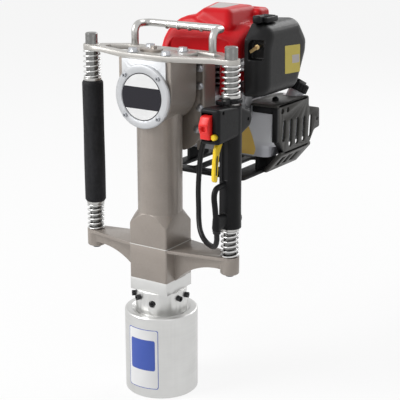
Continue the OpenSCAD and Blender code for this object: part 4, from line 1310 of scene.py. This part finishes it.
@dataclass
class RightHandle:
    """The throttle handle with its moulded switch housing, rocker, lock and trigger."""

    x: float = 132.0
    grip_radius: float = 17.0
    bore: float = 13.05
    low: float = 299.0
    top: float = 496.0
    face: float = -60.0
    half_width: float = 16.5
    switch_low: float = 442.0
    lobe: Flat = (22.0, 468.0)
    corner: float = 5.0
    trigger_half: float = 3.1
    bow_radius: float = 4.6
    strap: float = 6.8
    strap_wide: float = 2.6
    strap_thick: float = 2.4

    def housing(self) -> Piece:
        """Shapes the switch housing, with its rounded lobe over the rod."""
        reach, front = self.half_width - self.corner, self.face + self.corner
        spots = [(front, self.top - self.corner), (0.0, self.top - 9.0)]
        spots += [(3.0, self.switch_low + 9), (front, self.switch_low + self.corner)]
        spots += arc(self.lobe, 10.0, 80, -80, 6)
        balls = [(self.x + side * reach, y, z, self.corner) for y, z in spots for side in (-1, 1)]
        return bubble("grip_moulding", balls, 8)

    def strap_ring(self) -> Piece:
        """Shapes the ring for a strap behind the foot of the handle."""
        hub = Vector((self.x, self.grip_radius + 7, self.low + 8))
        wide, thick = self.strap_wide, self.strap_thick
        section = [(wide * math.cos(b), thick * math.sin(b)) for b in circle(10)]
        rings = []
        for a in circle(24):
            out = Vector((0, math.cos(a), math.sin(a)))
            rings.append([hub + Vector((w, 0, 0)) + (self.strap + t) * out for w, t in section])
        return skin("strap_ring", rings, closed=True)

    def finger_bow(self) -> Piece:
        """Sweeps the bow from the cable boss to the handle, below the trigger."""
        spots = [(-40, 18), (-43, 40), (-46, 58), (-43, 68), (-34, 72), (-12, 72)]
        route = [(self.x, y, self.low + rise) for y, rise in spots]
        return sweep("finger_bow", smooth_route(route, 6), self.bow_radius, 12)

    def grip(self) -> Piece:
        """Shapes the whole right grip: housing, handle, cable boss, finger bow and strap ring."""
        x, low, top, base = self.x, self.low, self.top, place((self.x, 0, 0))
        r = self.grip_radius
        tube = [(r + 0.6, low), (r + 0.6, low + 4), (r, low + 34), (r, top - 4)]
        boss = [(-40, 9, 6.5), (-40, 24, 5.5), (-14, 12, 6), (-14, 20, 6)]
        balls = [(x, y, low + rise, size) for y, rise, size in boss]
        piece = self.housing()
        added = (lathe("handle", tube, base), bubble("cable_boss", balls, 8))
        for form in (*added, self.finger_bow(), self.strap_ring()):
            combine(piece, form, Cut.ADD)
        front, level = self.face - 9, self.switch_low
        combine(piece, lathe("bore", [(self.bore, low - 9), (self.bore, top + 9)], base))
        combine(piece, box("room", (x - 15, front, level + 5), (x + 5, -44, top - 7)))
        combine(piece, box("slot", (x - 4.6, -42, level - 66), (x + 4.6, -13.5, level + 13)))
        combine(piece, rod("lock_hole", (x + 9, front, level + 12.5), (0, 1, 0), 5.2, 16, 24))
        for y, z in ((-47.0, 489.0), (24.0, 468.0)):
            combine(piece, rod("screw_hole", (x + 13, y, z), (1, 0, 0), 2.6, 6, 20))
        return melt(piece, 0.9, 3)

    def rocker(self) -> Piece:
        """Shapes the stop switch: a rocker with a bulging face and a finger hollow."""
        x, low, high, front = self.x, self.switch_low + 8, self.top - 10, self.face - 6
        side = [(front + 14, low + 1), (front, low), (front - 1, low + 8), (front - 5, 466)]
        side += [(front - 5, 473), (front + 1, high - 1), (front + 14, high)]
        piece = slab("stop_rocker", round_outline(side, 2.5), Plane.YZ, x - 12.2, x + 4.2, 1.2)
        return combine(piece, rod("hollow", (x - 3.5, front - 7, 467), (0, 1, 0), 4.4, 6, 24))

    def plate(
        self, name: str, outline: Sequence[Flat], bend: float, span: Flat, edge: float = 0.0
    ) -> Piece:
        """Makes a plate of the trigger.

        Args:
            name: Name of the plate.
            outline: Its outline, with heights above the housing's lower side.
            bend: Largest radius of the outline's corners.
            span: Where it starts and ends across the handle.
            edge: Radius of its edges.

        Returns:
            The plate.
        """
        raised = round_outline([(y, self.switch_low + z) for y, z in outline], bend)
        return slab(name, raised, Plane.YZ, self.x + span[0], self.x + span[1], edge)

    def trigger(self) -> Piece:
        """Shapes the throttle trigger, with a thin black inset down each side: painted shade where
        the trigger has a groove.
        """
        side = [(-33, 4), (-24, 4), (-29, -7), (-36, -18), (-40, -50), (-41, -58)]
        side += [(-43, -61), (-48, -60), (-50, -54), (-48, -30), (-45, -10), (-41, -4)]
        slot = [(-43.5, -20), (-40.5, -20), (-43.5, -50), (-46.5, -50), (-45, -24)]
        half = self.trigger_half
        reach, sunk = half + 0.15, half - 0.3
        blade = dress(self.plate("trigger_blade", side, 3, (-half, half), 1.1), YELLOW)
        spans = ((-reach, -sunk), (sunk, reach))
        # Black insets on both faces: painted shade in place of the side grooves, which are not
        # modelled.
        slot_shades = [dress(self.plate("inset", slot, 1, span), BLACK) for span in spans]
        return join("throttle_blade", [blade, *slot_shades])

    def lug(self) -> Piece:
        """Shapes the ribbed clamp lug in front of the ring nut."""
        x, top = self.x, self.top
        outline = round_outline([(x - 9, -16), (x - 9, -31), (x + 9, -31), (x + 9, -16)], 3)
        piece = slab("nut_lug", outline, Plane.XY, top + 0.3, top + 6.5, 0.8)
        for k in range(-2, 3):
            middle = x + 3.4 * k
            combine(piece, box("groove", (middle - 0.6, -32, top), (middle + 0.6, -29.8, top + 7)))
        return piece

    def build(self) -> None:
        """Builds the handle and its springs."""
        dress_nodes({"right_grip_tube": BAR, "grip_ring_nut": BLACK, "cable_sleeve": SHEATH}, 0.3)
        dress_nodes({"throttle_lock": YELLOW}, 0.6)
        shells = ("inner_grip_shell", "outer_grip_shell")
        fit(self.grip(), Fit("right_handle", "black_plastic", shells), BLACK)
        fit(self.lug(), Fit("right_handle", "black_plastic"), BLACK)
        fit(self.rocker(), Fit("stop_switch", "red_plastic", ("kill_switch",)), SWITCH_RED)
        fit(self.trigger(), Fit("trigger", "yellow_plastic", ("throttle_trigger",)))
        coils("right", self.x)


# ---------------------------------------------------------------- engine


@dataclass
class Hood:
    """Moulded red hood over the cylinder: an arch on the left that rises into a flat dome."""

    centre_x: float = -12.0
    arch_radius: float = 44.0
    edge: float = 12.0
    spring_height: float = 548.0
    front: float = 108.0
    back: float = 220.0
    right: float = 68.0
    low: float = 540.0
    duct_low: float = 480.0
    wall: float = 2.8
    panel_depth: float = 5.0
    dome: float = 603.0
    top: float = 616.0
    rear: float = 603.0
    dome_edge: float = 13.0
    dome_foot: float = 588.0
    lobe_edge: float = 8.0
    duct_back: float = 217.5
    screw: Flat = (48.0, 208.0)

    def arch(self, inset: float) -> Piece:
        """The arched main form, smaller by an inset. An inset form reaches further down."""
        r = self.edge - inset
        front = self.front + (6.0 if inset else 0.0)
        foot = self.spring_height - (22.0 if inset else 8.0)
        balls: list[Ball] = []
        for turn in range(180, 89, -15):
            a = math.radians(turn)
            x = self.centre_x + self.arch_radius * math.cos(a)
            z = self.spring_height + self.arch_radius * math.sin(a)
            balls += [(x, front + 14 * math.sin(a), z, r), (x, self.back, z, r)]
        right_side = ((front, 558), (front + 42, 578), (self.back, 582))
        balls += [(self.right, y, z, r) for y, z in right_side]
        sides = (self.centre_x - self.arch_radius, self.right)
        balls += [(x, y, foot, r) for x in sides for y in (front, self.back)]
        return bubble("hood_arch", balls)

    def raised(self, inset: float) -> list[Piece]:
        """The dome, the lobe behind it and the side duct, smaller by an inset."""
        r = self.dome_edge - inset
        crown = [(6, 128), (40, 134), (42, 196), (-18, 200)]
        foot = [(-14, 124), (46, 126), (48, 196), (-32, 202)]
        balls = [(x, y, self.dome, r) for x, y in crown]
        balls += [(x, y, self.dome_foot, r) for x, y in foot]
        spots = [(x, y) for x in (24, 60) for y in (198, 218)]
        edge, back = self.lobe_edge - inset, self.duct_back
        rear = [(x, y, z, edge) for x, y in spots for z in (568, self.rear)]
        left, right, front = 46 + inset, 74 - inset, (105.0 if inset else 96.0)
        duct = [(left, front), (right, front), (right, back), (left, back)]
        return [
            bubble("hood_dome", balls),
            bubble("hood_lobe", rear),
            slab("hood_duct", round_outline(duct, 12), Plane.XY, self.duct_low - 2 * inset, 560),
        ]

    def shell(self) -> Piece:
        """Shapes the hood as a shell that is open below."""
        piece = self.arch(0.0)
        combine(piece, box("below", (-90, 80, 500), (100, 260, self.low)))
        for form in self.raised(0.0):
            combine(piece, form, Cut.ADD)
        room = self.arch(self.wall)
        for form in self.raised(self.wall):
            combine(room, form, Cut.ADD)
        combine(piece, room)
        combine(piece, rod("well", (*self.screw, 599.5), UP, 9.4, 9, 32), Cut.ADD)
        combine(piece, rod("recess", (*self.screw, 603.1), UP, 7.2, 16.4, 32))
        below = self.duct_low - 1
        combine(piece, box("engine_side", (45, 110, below), (62, 204, self.low)))
        combine(piece, box("intake", (62, 112, below), (76, 164, self.duct_low + 22)))
        panel = [(-50, 543), (-50, 556), (-43, 566), (-30, 571), (58, 571), (70, 562), (70, 543)]
        combine(piece, slab("panel", round_outline(panel, 5), Plane.XZ, 90, 96 + self.panel_depth))
        return melt(piece, 1.15, 8)

    def build(self) -> None:
        """Builds the hood, its blank top panel and the screw in its recess."""
        fit(self.shell(), Fit("frame", "red_plastic", ("engine_cover",)), RED)
        outline = round_outline([(7, 130), (31, 135.5), (29, 193), (-15, 198.5)], 7)
        blank = slab("hood_blank_panel", outline, Plane.XY, self.top - 0.8, self.top + 0.15)
        fit(blank, Fit("frame", "red_plastic"), GREY_LABEL)
        profile = [(4.6, -0.4), (4.6, 2.8), (3.8, 3.6), (2.3, 3.6), (2.1, 1.6), (0.1, 1.6)]
        head = lathe("hood_screw", profile, place((*self.screw, 603.2)), 32)
        fit(head, Fit("frame", "black_steel"), BLACK_STEEL)


@dataclass
class AirCleaner:
    """Full, rounded cover of the air cleaner, with its latch, choke recess and blank label."""

    inner: float = 92.0
    outer: float = 130.0
    low: float = 483.0
    radius: float = 22.0
    inner_edge: float = 5.0

    def cover(self) -> Piece:
        """Shapes the cover: flat on its inner side and round towards the outside."""
        x = self.outer - self.radius
        full = [(122, 502), (206, 502), (228, 545), (229, 556), (212, 576), (131, 576), (122, 558)]
        flat = [(105, 488), (212, 488), (246, 540), (247, 560)]
        flat += [(232, 578), (206, 593), (126, 593), (106, 572)]
        balls = [(x, y, z, self.radius) for y, z in full]
        balls += [(self.inner + 4, y, z, self.inner_edge) for y, z in flat]
        piece = bubble("cleaner_cover", balls, 14)
        combine(piece, box("below", (70, 80, 440), (150, 280, self.low)))
        combine(piece, box("inner_side", (60, 80, 440), (self.inner, 280, 640)))
        outline = [(100, 543), (124, 543), (124, 574), (104, 574), (100, 566)]
        combine(piece, slab("choke_recess", round_outline(outline, 3), Plane.XZ, 80, 113))
        return melt(piece, 1.1, 4)

    def latch(self) -> Piece:
        """Shapes the latch on top: a ribbed plate and its thumb block."""
        plate = box("plate", (93, 126, 598.8), (119, 162, 607.5), 1.6)
        thumb = box("thumb", (99, 114, 598.8), (113, 130, 610.5), 2.2)
        starts = range(134, 156, 7)
        ribs = [box("rib", (96, y, 607.0), (116, y + 3, 608.6), 0.5) for y in starts]
        return join("cleaner_latch_block", [plate, thumb, *ribs])

    def build(self) -> None:
        """Builds the cover, its latch and its blank label."""
        fit(self.cover(), Fit("frame", "black_plastic", ("air_cleaner_cover",)), CLEANER)
        fit(self.latch(), Fit("cleaner_latch", "black_plastic", ("air_cleaner_latch",)), BLACK)
        dress_nodes({"choke_lever": BRASS}, 0.3)
        out = self.outer
        outline = round_outline([(166, 558.8), (216, 555.6), (218, 510), (168, 513.2)], 1.5)
        label = slab("cleaner_label", outline, Plane.YZ, out - 1.0, out + 0.15)
        fit(label, Fit("frame", "black_plastic"), YELLOW_LABEL)
        corners = [(190, 541), (214, 539.5), (215, 526), (191, 527.5)]
        field = slab("cleaner_label_field", corners, Plane.YZ, out - 0.5, out + 0.25)
        fit(field, Fit("frame", "black_plastic"), GREY_LABEL)


@dataclass
class TankGuard:
    """Slotted guard round the fuel tank, with its dark front edge and the tank's blank label."""

    outer: float = 130.0
    thick: float = 4.0
    front: float = 150.0
    floor: float = 346.0
    slot_width: float = 11.0
    slot_pitch: float = 22.5
    first_slot: float = 168.5
    edge: float = 0.9

    def side(self) -> Piece:
        """Cuts the side plate with its five long slots."""
        out, half = self.outer, self.slot_width / 2
        edge = [(150, 464), (252, 464), (253, 446), (291, 437), (293, 404), (274, 402)]
        edge += [(259, 384), (250, 379), (172, 379), (156, 400), (150, 406)]
        piece = slab("guard_side", round_outline(edge, 4), Plane.YZ, out - self.thick, out)
        for k, low in enumerate((400, 388, 388, 388, 391)):
            y, high = self.first_slot + self.slot_pitch * k, 437 - 1.5 * k
            slot = arc((y + 2, high - half), half, 0, 180, 8)
            slot += arc((y, low + half), half, 180, 360, 8)
            combine(piece, slab("slot", slot, Plane.YZ, out - 9, out + 4))
        for y, z, r in ((163, 452, 4.6), (181, 452, 4.6), (284, 419, 3.0)):
            combine(piece, rod("hole", (out - 8, y, z), (1, 0, 0), r, 12, 24))
        return round_edges(piece, self.edge, 2)

    def slope(self) -> Piece:
        """Cuts the slanted panel between the side plate and the pan."""
        x, low = self.outer, self.floor
        outline = [(x - self.thick, 383), (x, 383), (x, 378)]
        outline += [(x - 27, low), (x - 32, low), (x - 32, low + 5)]
        piece = slab("guard_slope", outline, Plane.XZ, 160, 262)
        for y in (174, 197, 220):
            slot = [(x + 2, 372), (x - 8, 372), (x - 30, 355), (x - 12, 355)]
            combine(piece, slab("slot", slot, Plane.XZ, y, y + 13))
        return round_edges(piece, 0.8, 2)

    def roof(self) -> Piece:
        """Cuts the flat top, with a round notch for the filler."""
        outline = [(72, 146), (130, 146), (130, 252), (84, 252), (72, 236)]
        piece = slab("guard_roof", round_outline(outline, 5), Plane.XY, 460, 464)
        filler = place((104, 256, 468), (0.2556, 0.3746, 0.8913))
        combine(piece, lathe("filler", [(19.5, -40), (19.5, 40)], filler, 40))
        return round_edges(piece, self.edge, 2)

    def front_edge(self) -> Piece:
        """Shapes the dark strip down the guard's front and the strap under its top."""
        x = self.outer
        outline = [(x, 459.8), (x - 9, 459.8), (x - 9, 403), (x, 403)]
        strip = slab("strip", round_outline(outline, 1.5), Plane.XZ, 144.5, 150.8, 0.8)
        band = round_outline([(82, 459.8), (x - 8, 459.8), (x - 8, 449), (82, 449)], 3)
        strap = slab("strap", band, Plane.XZ, 146.8, 150.9, 1.2)
        corners = [(148, 404), (153, 404), (176, 381), (171, 379)]
        foot = slab("foot", corners, Plane.YZ, x - 9, x - 0.3, 0.6)
        return join("guard_front", [strip, strap, foot])

    def build(self) -> None:
        """Builds the guard and what sits on it."""
        guard = join("guard_moulding", [self.side(), self.slope(), self.roof()])
        fit(guard, Fit("frame", "guard_plastic", ("tank_guard",)), GUARD)
        fit(self.front_edge(), Fit("frame", "black_plastic"), BLACK)
        profile = [(5.5, 0), (5.5, 3.5), (4, 5), (2, 6.5), (0.1, 6.8)]
        knob = lathe("guard_knob", profile, place((103, 186, 464)), 24)
        fit(knob, Fit("frame", "black_plastic"), BLACK)
        ochre = [(59, 376), (59, 428), (72, 425), (80, 408), (87, 386), (84, 376)]
        label = slab("tank_label", round_outline(ochre, 3), Plane.XZ, 150.7, 151.2)
        fit(label, Fit("frame", "tank_plastic"), OCHRE_LABEL)


@dataclass
class Starter:
    """Recoil starter behind the engine, with its rope and grip."""

    x: float = -30.0
    y: float = 252.0
    low: float = 452.0
    high: float = 514.3
    diameter: float = 4.0
    steps: int = 24

    def rope(self) -> None:
        """Runs the rope from the pulley to the grip."""
        rise = (self.high - self.low) / self.steps
        path = [Vector((self.x, self.y, self.low + rise * k)) for k in range(self.steps + 1)]
        rope = dress(sweep("starter_cord", path, self.diameter / 2, 16), ROPE)
        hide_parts("starter_rope")
        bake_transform(rope)
        log.info("starter rope shows %.0f mm", path_length(path))

    def build(self) -> None:
        """Dresses the starter and adds its rope."""
        dress_nodes({"recoil_housing": BLACK, "starter_pulley": TANK, "starter_grip": BLACK}, 0.5)
        self.rope()


@dataclass
class Engine:
    """Clutch housing, engine block, muffler, carburettor, tank and pan."""

    def build(self) -> None:
        """Dresses the engine."""
        # The clutch housing wears the darker copy of the casting paint: painted shade.
        dress_nodes({"clutch_housing": SHADED_BELL_PAINT}, 0.7)
        dress_nodes({"housing_bolts": ZINC}, 0.3)
        turning = ("clutch_drum", "engine_shaft", "clutch_shoes")
        dress_nodes(dict.fromkeys(turning, TOOL_STEEL), 0.3)
        dress_nodes(dict.fromkeys(("engine_block", "carburettor"), CAST_ALLOY), 0.5)
        dress_nodes({"muffler": EXHAUST}, 0.5)
        dress_nodes({"fuel_tank": TANK, "fuel_cap": BLACK, "engine_pan": PAN}, 0.6)


def main() -> None:
    """Builds the studio, the cord and each sub-assembly, in order."""
    logging.basicConfig(level=logging.INFO, format="%(name)s: %(message)s")
    Studio().build()
    ThrottleCable().build()
    machine = (DrivingEnd(), Column(), Top(), LeftHandle(), RightHandle())
    motor = (Engine(), Hood(), AirCleaner(), TankGuard(), Starter())
    for part in (*machine, *motor):
        part.build()
        log.info("%s is built", type(part).__name__)


if __name__ == "__main__":
    main()
